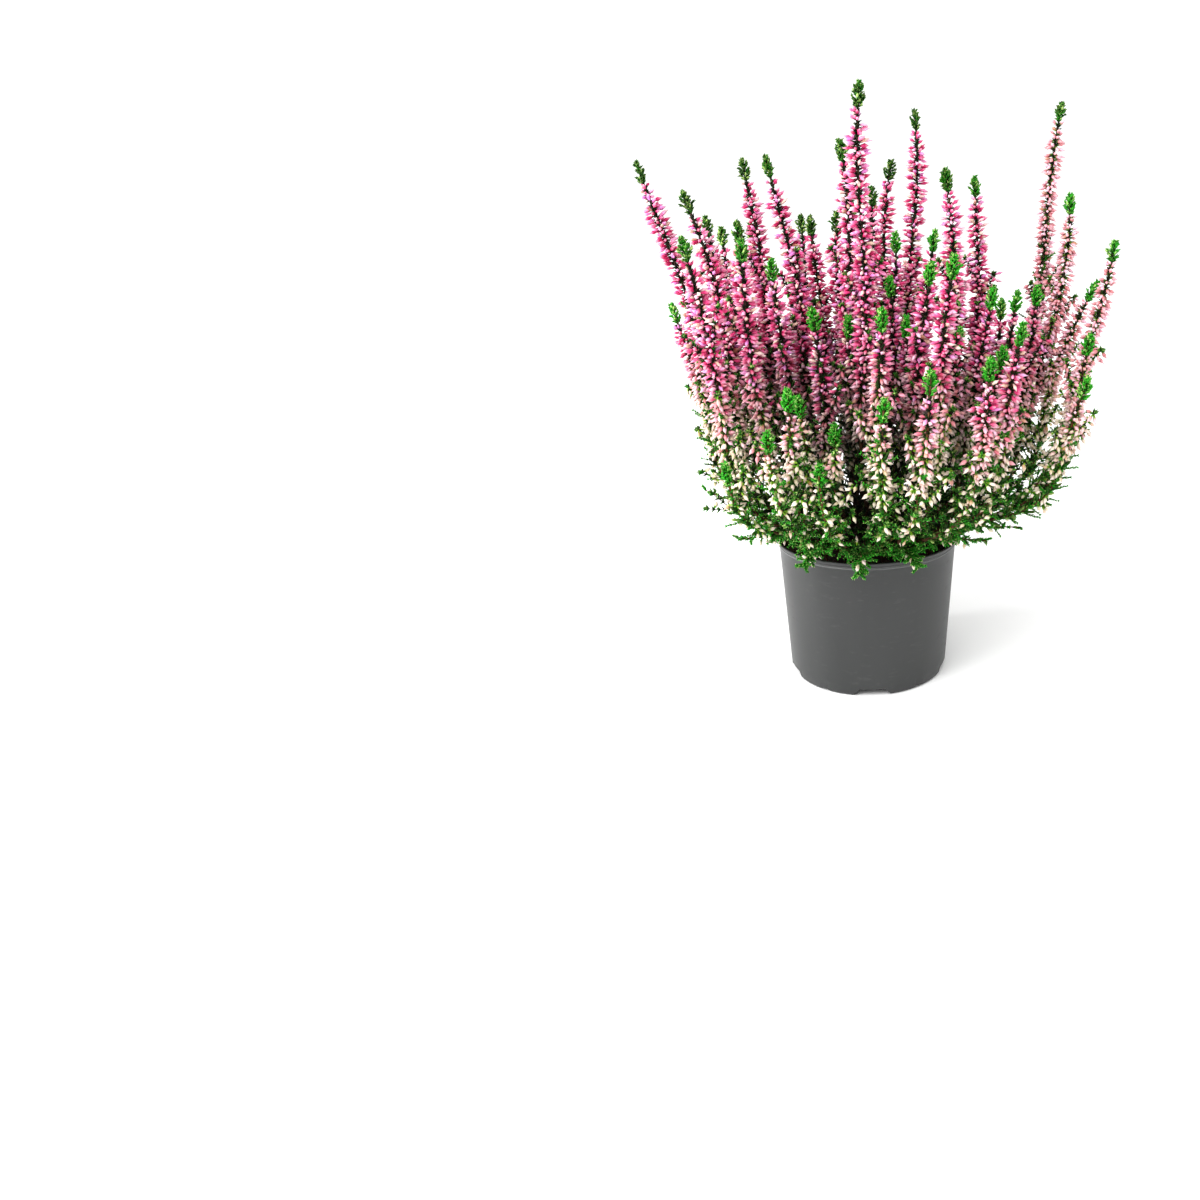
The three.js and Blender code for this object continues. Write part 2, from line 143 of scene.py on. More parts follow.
# Tips of the spikes that stand in view, each [x, y, z] or, where it bows sideways, [x, y, z, bow]
SPIKE_TIPS = [
    # left side, from the outermost inwards
    [-127, -3, 299, 10], [-119, 35, 217, 4], [-98, -22, 282, 6], [-94, 23, 269, 3], [-91, 60, 263],
    [-88, -78, 258], [-80, -45, 206], [-70, 14, 301], [-70, 42, 265], [-61, -64, 257],
    [-54, -11, 301, 7], [-49, -37, 246],
    # middle
    [-41, 60, 270], [-33, 34, 269], [-13, -16, 309, 6], [-1, -70, 331, -2], [-16, 12, 271], [4, 34, 286],
    [17, 60, 303, -6], [30, 37, 330, 4], [18, 11, 259], [14, -10, 235], [40, -3, 260], [-9, 60, 279],
    # right side, from the middle outwards
    [43, -32, 292, 14], [34, -68, 245], [65, 27, 291, 8], [44, -90, 249], [68, -42, 230], [80, 10, 220],
    [50, -56, 211], [118, 40, 335, 6], [84, -24, 227], [119, 14, 280, 5], [98, -6, 229], [78, -85, 216],
    [72, -60, 201], [60, -100, 201], [138, -18, 254, 4], [137, 12, 230, -14], [121, -41, 205],
    [116, -60, 185],
    # low ones along the front
    [-27, -53, 221], [-8, -44, 216], [9, -80, 223], [22, -47, 216], [5, -28, 196], [-37, -94, 186],
    [-34, -70, 178], [-45, -110, 169], [-15, -83, 166], [7, -87, 161], [-21, -111, 153], [-69, -88, 148],
    [10, -112, 184], [31, -111, 197],
]

# Leafy shoots round the pot's rim, each [turn in degrees, reach, tip height]
LEAFY_SHOOTS = [
    [-13, 92, 90], [-37, 84, 92], [-67, 72, 83], [-93, 68, 80], [-120, 70, 82], [-149, 84, 92],
    [-170, 96, 112], [155, 80, 92], [121, 74, 88], [89, 72, 84], [53, 76, 88], [15, 86, 96],
]
SHOOT_ROOT = 43.6
SHOOT_RISE = 6.5

# Fine growth of the spikes
STEM_FOOT = 1.25
STEM_TOP = 0.6
WHORL_PITCH = 4.0
WHORL_BUDS = 10
WHORL_FLOOR = 102
OUTER_DROP = 55
BUD_LENGTH = 7.2
BUD_WIDTH = 1.16
BUD_ROOT = 0.35
BUD_ROOM = 0.6
CREAM_HEIGHT = 134
PINK_HEIGHT = 203
SPARSE_HEIGHT = 108
SPARSE_SHARE = 0.08
FULL_HEIGHT = 172
RIPE_DRIFT = 7
RIPE_SPREAD = 6
PALE_SHARE = 0.55
PALE_START = 80
PALE_FULL = 118
CREAM_LIFT = -38
PINK_LIFT = 6
TOP_LIFT = 30
LIFT_SPREAD = 16
BRANCH_PITCH = 13
LOW_BRANCH_PITCH = 6.5
LOW_BRANCH_TOP = 126
BRANCH_STEPS = 8
BRANCH_BUDS = 3
BRANCH_ENDS = 3
BRANCH_FREE_SHARE = 0.26
BRANCH_LOW = 128
BRANCH_TOP = 240
BRANCH_EDGE_DROP = 48
BRANCH_REACH = 1.07
EDGE_ROOM = 9
TIP_LEVELS = 7
TIP_PITCH = 1.6
TIP_CLUBS = 4
TIP_SPLAY = (42, 47, 24)
TIP_LENGTHS = (4.2, 6.0, 3.6)
END_CLUBS = (3.7, 2.9, 2.6)
END_CLUB_DROP = 5.2
CLUB_LEAVES = 4
CLUB_ROOM = 1.4
CLUSTER_BUDS = 4
CLUSTER_SHARE = 0.1
SPRIG_PITCH = 2.7
STEM_SEED = 1000

# Leaves of a whorl, each [number, lean forward, length, width]
WHORL_LEAVES = [[5, 0.55, 3.3, 2.0], [4, 1.5, 2.8, 2.0]]

# Points along a leafy shoot: their number, the ones with sprigs along the rim, and the first ones with
# sprigs that reach outwards and with needles
SHOOT_POINTS = 61
SHOOT_RIM_POINTS = (32, 50)
SHOOT_OUTER_POINT = 38
SHOOT_NEEDLE_POINT = 30
SHOOT_SEED = 2000

# Photograph's frame in pixels, and its camera in millimetres and degrees
FRAME_PIXELS = 1200
FOCAL_PIXELS = 930
AIM_PIXEL = (876, 387)
CAMERA_PLACE = (5.91, -532.8, 260.8)
CAMERA_PITCH = 9.788
CAMERA_ROLL = -0.476
SENSOR = 36

# Floor and lamps, in metres, watts and degrees
FLOOR_REACH = 6.0
SUN_STRENGTH = 1.2
SUN_WIDTH = 40
SUN_TURN = (38, -14, 0)
LAMPS = {
    "key": {"place": (-0.9, -0.9, 0.9), "aim": (0, 0, 0.15), "size": (0.5, 0.9), "power": 9},
    "strip": {"place": (-0.8, -0.15, 0.25), "aim": (0, 0, 0.1), "size": (0.12, 0.7), "power": 4},
}


def smoothstep(value, low, high):
    """0 below low, 1 above high, and 3t² - 2t³ between them."""
    t = np.clip((np.asarray(value, float) - low) / (high - low), 0, 1)
    return t * t * (3 - 2 * t)


def unit(vectors):
    """Each vector divided by its own length."""
    return vectors / np.linalg.norm(vectors, axis=-1, keepdims=True)


# Layout of the plant, as in the solids

@dataclass
class Spike:
    """A budding spike: its place in the soil, its tip's height, its bow, the phase of its sway and whorls,
    the spike that it branches from, and the one that branches from it."""

    x: float
    y: float
    tip: float
    bow: float
    phase: float
    parent: "Spike" = None
    child: "Spike" = None

    @property
    def outerness(self):
        """Distance from the crown's middle as a share of its radius, at most 1."""
        return min(1.0, math.hypot(self.x, self.y) / CROWN_RADIUS)


def seeded_draw(seed):
    """Repeatable numbers between 0 and 1, by Lehmer's rule."""
    state = seed
    while True:
        state = state * 48271 % 2147483647
        yield state / 2147483647


def fan(height):
    """Width of the fan at a height: 1 in the soil, plus a flare that ends a little over the rim, plus a
    slow even slope."""
    rise = np.maximum(0, np.asarray(height, float) - SOIL_TOP)
    return 1 + FAN_FLARE * (1 - np.exp(-((rise / FAN_FLARE_HEIGHT) ** 2))) + FAN_SLOPE * rise


def sway_of(phase, height):
    """How far a spike of some phase sways from its line at a height: a slow circle, whose radius grows
    from nothing over the rim."""
    sway = SWAY * smoothstep(height, SWAY_START, SWAY_FULL)
    turn = height / SWAY_LENGTH + phase
    return sway * np.cos(turn), sway * np.sin(turn)


def plant_spikes():
    """The spikes in view at their tip divided by the fan, and the rest on a sunflower spiral behind
    them."""
    spikes = []
    for i, (x, y, z, *bow) in enumerate(SPIKE_TIPS):
        sway_x, sway_y = sway_of(i * GOLDEN_TURN, z)
        place = ((x - sway_x) / fan(z), (y - sway_y) / fan(z))
        spikes.append(Spike(*map(float, place), z, sum(bow), i * GOLDEN_TURN))
    draw = seeded_draw(FILL_SEED)
    for i in range(FILL_COUNT):
        radius = CROWN_RADIUS * math.sqrt((i + 0.5) / FILL_COUNT)
        x = radius * math.cos(i * GOLDEN_TURN)
        y = radius * math.sin(i * GOLDEN_TURN)
        variation = FILL_VARIATION * (next(draw) - 0.5)
        near = min(math.hypot(other.x - x, other.y - y) for other in spikes)
        if near < FILL_SPACING or y < FILL_FRONT:
            continue
        tip = FILL_MIDDLE_HEIGHT - FILL_EDGE_DROP * (radius / CROWN_RADIUS) ** 2 + variation
        spikes.append(Spike(x, y, tip, 0, len(spikes) * GOLDEN_TURN))
    return spikes


def share_stems(spikes):
    """Neighbouring spikes share a woody stem, nearest pairs first: the taller one carries the other."""
    pairs = sorted(
        (math.hypot(one.x - other.x, one.y - other.y), i, i + 1 + j)
        for i, one in enumerate(spikes)
        for j, other in enumerate(spikes[i + 1:])
    )
    taken = set()
    for distance, i, j in pairs:
        if len(taken) == 2 * PAIR_COUNT or distance > PAIR_LIMIT:
            break
        if i in taken or j in taken:
            continue
        taken |= {i, j}
        tall, low = (i, j) if spikes[i].tip >= spikes[j].tip else (j, i)
        spikes[low].parent = spikes[tall]
        spikes[tall].child = spikes[low]
    return [spike for spike in spikes if spike.parent is None]


def centreline(spike, height):
    """Points of a spike at some heights: its place in the soil times the fan, with its sway, and its bow
    times the sine of a half turn that is greatest a little over half-way up. Below the fork a side spike
    keeps to its parent's line."""
    height = np.asarray(height, float)
    sway_x, sway_y = sway_of(spike.phase, height)
    share = np.clip((height - SOIL_TOP) / (spike.tip - SOIL_TOP), 0, 1)
    bow = spike.bow * np.sin(np.pi * share ** BOW_LATENESS)
    x = spike.x * fan(height) + sway_x + bow
    y = spike.y * fan(height) + sway_y
    own = np.stack([x, y, height], -1)
    if spike.parent is None:
        return own
    free = smoothstep(height, FORK_HEIGHT, FORK_HEIGHT + FORK_BLEND)[..., None]
    return centreline(spike.parent, height) * (1 - free) + own * free


def lowest_buds(spike):
    """Height of a spike's lowest buds: near the rim at the crown's edge, higher inside it."""
    in_crown = EDGE_BUDS + (MIDDLE_BUDS - EDGE_BUDS) * (1 - spike.outerness ** 2)
    high = spike.tip - LEAFY_TIP
    return min(max(in_crown, high - FLOWER_LENGTH), high - 2 * BAND_PITCH)


def even_heights(spike, low, high, step):
    """Heights that cut a spike's line into equal lengths of about the given step."""
    heights = np.linspace(low, high, 200)
    lengths = np.linalg.norm(np.diff(centreline(spike, heights), axis=0), axis=1)
    along = np.concatenate([[0], np.cumsum(lengths)])
    count = max(2, round(along[-1] / step))
    return np.interp(np.arange(count) * along[-1] / count, along, heights)


def square_frame(forward):
    """Two unit vectors square to each forward direction and to each other."""
    hint = np.where(np.abs(forward[..., 2:]) < 0.9, [0.0, 0, 1], [1.0, 0, 0])
    side = unit(np.cross(hint, forward))
    return side, np.cross(forward, side)


def round_about(side, other, turn):
    """Directions at some turns from side towards other: cos(turn) times side plus sin(turn) times other."""
    return np.cos(turn)[..., None] * side + np.sin(turn)[..., None] * other


def round_twigs(directions, turn):
    """Directions square to each twig's own at some turns, which have one row or one block for each twig."""
    side, other = square_frame(directions)
    rows = (slice(None),) + (None,) * (turn.ndim - 1)
    return round_about(side[rows], other[rows], turn)


def line_frames(points, sideways):
    """Forward, across and upright unit vectors along a row of points: across is the given sideways
    direction, made square to the row's own direction."""
    forward = unit(np.gradient(points, axis=0))
    across = unit(sideways - (forward @ sideways)[:, None] * forward)
    return forward, across, np.cross(forward, across)


def sideways_of(spike):
    """The level direction along the crown's edge at a spike's place."""
    turn = math.atan2(spike.y, spike.x)
    return np.array([-math.sin(turn), math.cos(turn), 0])


def away_from_middle(spike):
    """The level direction from the crown's middle to a spike's place, times the spike's outerness."""
    return unit(np.array([[spike.x, spike.y, 0.0]])) * spike.outerness


def spike_frames(spike, heights):
    """Points of a spike with their frames: the slope is taken between half a millimetre below and above."""
    points = centreline(spike, heights)
    forward = unit(centreline(spike, heights + 0.5) - centreline(spike, heights - 0.5))
    sideways = sideways_of(spike)
    across = unit(sideways - (forward @ sideways)[:, None] * forward)
    return points, forward, across, np.cross(forward, across)


# Shapes: each is (points, triangles, share along its length, seam)

def ring_faces(rings, sides):
    """Triangles of a closed surface on points that are a pole, rings of equal sides, and a pole."""
    side = np.arange(sides)
    near = (side + 1) % sides
    low = (1 + sides * np.arange(rings - 1))[:, None]
    high = low + sides
    bands = np.stack([low + side, low + near, high + near, low + side, high + near, high + side], -1)
    last = 1 + sides * (rings - 1)
    return np.vstack([
        np.stack([np.zeros(sides, int), 1 + near, 1 + side], -1),
        bands.reshape(-1, 3),
        np.stack([last + side, last + near, np.full(sides, last + sides)], -1),
    ])


def revolved(profile, sides, twist=0.0):
    """A profile of [distance along z, radius] turned round the z axis, from a pole to a pole.
    Each ring is turned on from the last by the twist, counted in sides."""
    along, radius = np.array(profile[1:-1], float).T
    step = np.arange(sides)[None, :] + twist * np.arange(len(along))[:, None]
    angle = step * 2 * np.pi / sides
    x = radius[:, None] * np.cos(angle)
    y = radius[:, None] * np.sin(angle)
    z = np.broadcast_to(along[:, None], x.shape)
    rings = np.stack([x, y, z], -1).reshape(-1, 3)
    points = np.vstack([[0, 0, profile[0][0]], rings, [0, 0, profile[-1][0]]])
    seam = np.concatenate([[0], np.tile(np.arange(sides) % 2, len(along)), [0]]).astype(float)
    return points, ring_faces(len(along), sides), points[:, 2] / profile[-1][0], seam


def pyramid():
    """A slim three-sided pyramid of length 1 and width 1, as a small scale leaf: its base is sunk in what
    bears it."""
    angle = np.arange(3) * 2 * np.pi / 3
    base = np.stack([0.5 * np.cos(angle), 0.4 * np.sin(angle), np.zeros(3)], -1)
    points = np.vstack([base, [0.06, 0, 1]])
    faces = np.array([[2, 1, 0], [0, 1, 3], [1, 2, 3], [2, 0, 3]])
    return points, faces, np.array([0.0, 0, 0, 1]), np.array([0.0, 1, 1, 0])


BUD = revolved([(0, 0), (0.15, 0.45), (0.6, 1.0), (1, 0)], 4, 0.5)
CLUB = revolved([(0, 0), (0.08, 0.6), (0.75, 1.0), (1, 0)], 4, 0.5)
LEAF = pyramid()
TUFT = revolved([(0, 0), (0.15, 0.8), (0.5, 1.0), (0.8, 0.7), (1, 0)], 4, 0.5)
CRUMB = revolved([(-0.5, 0), (-0.25, 0.4), (0.25, 0.42), (0.5, 0)], 5, 0.4)
TWIG = revolved([(0, 0), (0, 1), (0.9, 0.6), (1, 0)], 3, 0.0)

# Numbers that a mesh carries at each point: how ripe, green or old it is, a chance drawn for each copy,
# the share along the shape's length, and 1 on every other of its edges
LOOKS = ("tone", "chance", "along", "seam")


def painted_shade_share(points):
    """How deep points lie inside the crown, as the share of painted shade that darkens the finishes: 1 near
    its axis and low down, 0 at its edge and among the free spikes, by the radius as a share of the crown's
    own at that height."""
    radius = np.hypot(points[:, 0], points[:, 1]) / (CROWN_RADIUS * fan(points[:, 2]))
    return (1 - smoothstep(radius, 0.3, 0.88)) * (1 - smoothstep(points[:, 2], 140, 225))


class Growth:
    """Gathers shapes with their finish and their looks, and makes one mesh of them."""

    def __init__(self):
        self.points = []
        self.faces = []
        self.finish = []
        self.looks = {key: [] for key in LOOKS}
        self.count = 0

    def add(self, points, faces, finish, **looks):
        """Points in millimetres, triangles of their numbers, one finish, and looks as numbers or as rows."""
        self.points.append(points)
        self.faces.append(faces + self.count)
        self.finish.append(np.full(len(faces), finish))
        for key in LOOKS:
            self.looks[key].append(np.broadcast_to(looks.get(key, 0.0), len(points)))
        self.count += len(points)

    def copies(self, shape, roots, forward, finish, length, width, tone, chance, roll=0.0):
        """Copies of a shape: its z axis lies along each forward direction, stretched to a length and a
        width, and rolled about that axis. Roots and directions are rows of equal number."""
        points, faces, along, seam = shape
        count = len(roots)
        first = round_about(*square_frame(forward), np.broadcast_to(roll, count))
        axes = np.stack([first, np.cross(forward, first), forward], -1)
        wide = np.broadcast_to(width, count)
        scale = np.stack([wide, wide, np.broadcast_to(length, count)], -1)
        placed = np.einsum("nij,nvj->nvi", axes, points[None] * scale[:, None]) + roots[:, None]
        shifted = faces[None] + len(points) * np.arange(count)[:, None, None]
        each = len(points)
        self.add(
            placed.reshape(-1, 3), shifted.reshape(-1, 3), finish,
            tone=np.repeat(np.broadcast_to(tone, count), each),
            chance=np.repeat(np.broadcast_to(chance, count), each),
            along=np.tile(along, count), seam=np.tile(seam, count),
        )

    def tube(self, points, radii, sideways, sides, finish, tone):
        """A round section carried along a row of points, closed by a pole at both ends."""
        forward, across, upright = line_frames(points, sideways)
        angle = np.arange(sides) * 2 * np.pi / sides
        section = round_about(across[:, None], upright[:, None], angle)
        rings = points[:, None] + np.asarray(radii)[:, None, None] * section
        count = len(points)
        solid = np.vstack([points[:1], rings.reshape(-1, 3), points[-1:]])
        share = np.concatenate([[0], np.repeat(np.linspace(0, 1, count), sides), [1]])
        tones = np.interp(share, np.linspace(0, 1, count), np.broadcast_to(tone, count))
        self.add(solid, ring_faces(count, sides), finish, tone=tones, chance=0.5, along=share)

    def piece(self, name, finishes, node, slot):
        """One object of all that was gathered, in its solid's place. Its looks are point attributes."""
        points = np.vstack(self.points) * MM
        faces = np.vstack(self.faces)
        mesh = bpy.data.meshes.new(name)
        mesh.vertices.add(len(points))
        mesh.vertices.foreach_set("co", points.astype(np.float32).ravel())
        mesh.loops.add(faces.size)
        mesh.loops.foreach_set("vertex_index", faces.astype(np.int32).ravel())
        mesh.polygons.add(len(faces))
        mesh.polygons.foreach_set("loop_start", np.arange(0, faces.size, 3, dtype=np.int32))
        mesh.polygons.foreach_set("material_index", np.concatenate(self.finish).astype(np.int32))
        looks = {key: np.concatenate(values) for key, values in self.looks.items()}
        # painted shade: how far each point is darkened for lying deep inside the crown
        looks["inside"] = painted_shade_share(points / MM)
        for key, values in looks.items():
            layer = mesh.attributes.new(key, "FLOAT", "POINT")
            layer.data.foreach_set("value", values.astype(np.float32))
        for finish in finishes:
            mesh.materials.append(finish)
        mesh.update(calc_edges=True)
        mesh.shade_smooth()
        return place_piece(bpy.data.objects.new(name, mesh), node)


def place_piece(piece, node):
    """Puts a piece into the scene, on the part's one body, in the place of its solid."""
    bpy.context.scene.collection.objects.link(piece)
    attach(piece, "root")
    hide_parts(node)
    return piece


# Shaders

def paint(code):
    """A colour as printed in a paint chart, #rrggbb, as the linear light that a shader takes."""
    shares = np.array([int(code[i:i + 2], 16) for i in (1, 3, 5)]) / 255
    linear = np.where(shares <= 0.04045, shares / 12.92, ((shares + 0.055) / 1.055) ** 2.4)
    return (*linear.tolist(), 1.0)


class Value:
    """A number or a colour in a shader. Sums, differences and products of it add their Math nodes."""

    def __init__(self, shader, socket):
        self.shader = shader
        self.socket = socket

    def math(self, operation, *values):
        """A Math node of two values, each a Value or a plain number."""
        return self.shader.node("ShaderNodeMath", {"operation": operation}, dict(enumerate(values)))

    def __add__(self, other):
        return self.math("ADD", self, other)

    __radd__ = __add__

    def __rsub__(self, other):
        return self.math("SUBTRACT", other, self)

    def __mul__(self, other):
        return self.math("MULTIPLY", self, other)

    __rmul__ = __mul__

    def step(self, low, high):
        """0 below low and 1 above high, smooth between them."""
        settings = {"interpolation_type": "SMOOTHSTEP"}
        return self.shader.node("ShaderNodeMapRange", settings, {0: self, 1: low, 2: high})


class Shader:
    """A material with one Principled surface."""

    def __init__(self, name):
        self.material = bpy.data.materials.new(name)
        self.material.use_nodes = True
        self.tree = self.material.node_tree
        self.surface = self.tree.nodes["Principled BSDF"]

    def node(self, kind, settings=None, inputs=None, output=0):
        """A node of a kind, with its settings made first and then the values or links of its sockets."""
        made = self.tree.nodes.new(kind)
        for key, value in (settings or {}).items():
            if key == "stops":
                self.set_stops(made.color_ramp, value)
            else:
                setattr(made, key, value)
        self.join(made, inputs or {})
        return Value(self, made.outputs[output])

    def join(self, made, inputs):
        """Links each Value to its socket of a node, and sets the other sockets to their plain values."""
        for key, value in inputs.items():
            if isinstance(value, Value):
                self.tree.links.new(value.socket, made.inputs[key])
            else:
                made.inputs[key].default_value = value

    def set_stops(self, ramp, stops):
        """The stops of a colour ramp, each (place, #rrggbb)."""
        while len(ramp.elements) < len(stops):
            ramp.elements.new(1)
        for element, (place, code) in zip(ramp.elements, stops):
            element.position = place
            element.color = paint(code)

    def look(self, name):
        """A number that the mesh carries at each point."""
        return self.node("ShaderNodeAttribute", {"attribute_name": name}, output=2)

    def place(self):
        """Object coordinates, in metres."""
        return self.node("ShaderNodeTexCoord", output=3)

    def stretched(self, x, y, z):
        """Object coordinates, each times its own factor."""
        return self.node("ShaderNodeVectorMath", {"operation": "MULTIPLY"}, {0: self.place(), 1: (x, y, z)})

    def noise(self, scale, detail=2.0, vector=None):
        """Noise between 0 and 1, with scale in waves a metre."""
        inputs = {"Vector": vector or self.place(), "Scale": scale, "Detail": detail}
        return self.node("ShaderNodeTexNoise", None, inputs)

    def ramp(self, value, stops):
        """The colour at a value's place between some stops."""
        return self.node("ShaderNodeValToRGB", {"stops": stops}, {0: value})

    def mix(self, share, first, second, blend="MIX"):
        """A colour between two colours, each a #rrggbb code or a Value."""
        colours = [paint(c) if isinstance(c, str) else c for c in (first, second)]
        settings = {"data_type": "RGBA", "blend_type": blend}
        return self.node("ShaderNodeMix", settings, {0: share, 6: colours[0], 7: colours[1]}, 2)

    def bump(self, height, strength, distance):
        """A normal that is tilted by the slope of a height, with its depth in millimetres."""
        inputs = {"Height": height, "Strength": strength, "Distance": distance * MM}
        return self.node("ShaderNodeBump", None, inputs)

    def finish(self, **sockets):
        """Joins or sets the surface's own sockets, named with _ for a space."""
        self.join(self.surface, {key.replace("_", " "): value for key, value in sockets.items()})
        return self.material


def bud_finish():
    """Pointed buds: cream with a yellow-green foot low on the plant, rose to lilac pink above, with a
    painted highlight towards each tip and painted shade deep inside the crown.
    """
    s = Shader("bud_petals")
    ripe, chance, along = s.look("tone"), s.look("chance"), s.look("along")
    pink = s.ramp(chance, [
        (0.0, "#b4285c"), (0.22, "#d5427c"), (0.46, "#e46697"), (0.62, "#ef94b6"), (0.74, "#dc84cc"),
        (0.85, "#f8c4d3"), (0.93, "#eed3c2"), (1.0, "#a9745c"),
    ])
    cream = s.ramp(chance, [(0.0, "#d9c9a2"), (0.4, "#f4ecd6"), (0.9, "#efdfcd"), (1.0, "#c9a06c")])
    blush = s.ramp(chance, [(0.0, "#cf8285"), (0.45, "#e6a5ac"), (0.9, "#ecc0d2"), (1.0, "#c08f72")])
    body = s.mix(ripe.step(0.45, 0.95), s.mix(ripe.step(0.0, 0.4), cream, blush), pink)
    # painted highlight: the outer part of each bud lightened towards near white
    painted_tip_highlight = along.step(0.6, 1.0) * 0.45
    body = s.mix(painted_tip_highlight, body, "#ffe9ee")
    body = s.mix(s.look("seam").step(0.55, 1.0) * 0.35, body, "#8e2b48", "MULTIPLY")
    foot = s.mix(ripe.step(0.2, 0.8), s.ramp(chance, [(0.0, "#3f8a1c"), (1.0, "#8fb536")]), "#29301c")
    cover = 1 - (along + 0.14 * ripe).step(0.3, 0.5)
    # painted shade: buds deep inside the crown darkened towards near black
    colour = s.mix(s.look("inside") * 0.75, s.mix(cover, body, foot), "#140a08")
    waves = s.noise(1900, 2.0)
    return s.finish(
        Base_Color=colour, Roughness=0.5, Normal=s.bump(waves, 0.25, 0.15), Specular_IOR_Level=0.2,
    )


def leaf_finish():
    """Scale leaves: painted shade near black towards each base, where they clasp the dark stems, olive at
    ripe tips, bright green on young growth with painted highlights towards the tips, and painted shade
    deep inside the crown."""
    s = Shader("scale_leaves")
    tone, chance, along = s.look("tone"), s.look("chance"), s.look("along")
    young = s.ramp(tone, [
        (0.0, "#14180f"), (0.22, "#1d3513"), (0.45, "#266319"), (0.7, "#2c8c1f"), (1.0, "#3aa82a"),
    ])
    olive = s.ramp(chance, [(0.0, "#37351a"), (0.5, "#56501f"), (1.0, "#75602c")])
    ends = along.step(0.45, 1.0) * (1 - tone.step(0.6, 0.95))
    # painted shade: each leaf and club darkened towards near black at its base, where it meets the stem
    colour = s.mix((1 - along.step(0.0, 0.6)) * 0.72, young, "#0b1c07")
    colour = s.mix(ends * tone.step(0.2, 0.5) * 0.8, colour, olive)
    # painted highlight: pale yellow-green towards the tips of some leaves, drawn at random
    painted_leaf_highlight = chance.step(0.5, 1.0) * along.step(0.2, 0.8) * tone.step(0.2, 0.6)
    colour = s.mix(painted_leaf_highlight * 0.8, colour, "#bfde86")
    # painted shade: leaves deep inside the crown darkened towards near black
    colour = s.mix(s.look("inside") * 0.8, colour, "#0a0a06")
    waves = s.noise(2400, 1.0)
    return s.finish(
        Base_Color=colour, Roughness=0.45, Normal=s.bump(waves, 0.3, 0.12), Specular_IOR_Level=0.2,
    )


def bark_finish():
    """Thin bark: dark towards the tips, red-brown and flaking lower down, with painted shade deep inside the
    crown.
    """
    s = Shader("bark")
    tone = s.look("tone")
    fibres = s.noise(900, 4.0, s.stretched(1, 1, 0.15))
    colour = s.ramp(tone, [(0.0, "#2b2520"), (0.35, "#3f2a20"), (0.7, "#6b3f26"), (1.0, "#4b3424")])
    colour = s.mix(fibres.step(0.45, 0.7) * 0.5, colour, "#8a6a4c")
    # painted shade: bark deep inside the crown darkened towards near black
    colour = s.mix(s.look("inside") * 0.8, colour, "#0d0906")
    return s.finish(
        Base_Color=colour, Roughness=0.8, Normal=s.bump(fibres, 0.6, 0.3), Specular_IOR_Level=0.2,
    )


def peat_finish():
    """Moist peat: dark lumps, with paler grit on them."""
    s = Shader("peat")
    lumps = s.noise(260, 6.0)
    grit = s.noise(1500, 3.0)
    colour = s.ramp(lumps, [(0.3, "#17100b"), (0.5, "#2c1e14"), (0.7, "#4a3524")])
    colour = s.mix(grit.step(0.62, 0.72) * 0.6, colour, "#8a7355")
    height = lumps * 0.7 + grit * 0.3
    return s.finish(Base_Color=colour, Roughness=0.95, Normal=s.bump(height, 0.9, 1.2))


def plastic_finish():
    """Satin grey moulded plastic: faint flow marks down the wall, a fine grain that breaks up the gloss,
    and a painted highlight, a thin pale line, on the bead under the rim band."""
    s = Shader("pot_plastic")
    flow = s.noise(22, 3.0, s.stretched(1, 1, 0.25))
    grain = s.noise(3200, 2.0)
    scuffs = s.noise(140, 5.0, s.stretched(1, 1, 3)).step(0.58, 0.75)
    colour = s.mix(flow.step(0.3, 0.7), "#303131", "#373838")
    colour = s.mix(scuffs * 0.18, colour, "#5b5b59")
    # painted highlight: a thin pale line on the bead under the rim band
    shoulder = SHOULDER_HEIGHT * MM
    rise = s.node("ShaderNodeSeparateXYZ", None, {0: s.place()}, output=2)
    above_bead = rise.step(shoulder + 0.8 * MM, shoulder + 1.4 * MM)
    bead = rise.step(shoulder - 0.1 * MM, shoulder + 0.3 * MM) * (1 - above_bead)
    colour = s.mix(bead * 0.6, colour, "#7d7e7e")
    roughness = 0.36 + 0.1 * flow + 0.12 * scuffs
    return s.finish(Base_Color=colour, Roughness=roughness, Normal=s.bump(grain, 0.12, 0.08))


# Plant

# Places in a piece's list of finishes
BUDS, LEAVES, BARK = 0, 1, 2
PEAT = 0


def tip_tone(spike, random):
    """How green a tip is: tall ripe spikes are olive, low ones and those on the right are bright green."""
    top = centreline(spike, spike.tip)
    ripe = smoothstep(spike.tip - 0.5 * max(0.0, float(top[0])), 240, 272)
    return 0.9 - 0.42 * ripe + 0.16 * (random.random() - 0.5)


def grow_stem(growth, spike):
    """Bare wood from the soil, or from the fork, to the tip: a round section that thins evenly. It has
    more rings low down, where it bends over the rim."""
    start = FORK_HEIGHT + 3 if spike.parent else SOIL_TOP - HOLE_DEPTH
    heights = np.concatenate([np.linspace(start, 112, 12), np.linspace(118, spike.tip - 2, 18)])
    points = centreline(spike, heights)
    thick = STEM_TOP + 0.25 if spike.parent else STEM_FOOT
    radii = thick + (STEM_TOP - thick) * smoothstep(heights, 80, spike.tip)
    growth.tube(points, radii, sideways_of(spike), 5, BARK, 1 - smoothstep(heights, 100, 250))


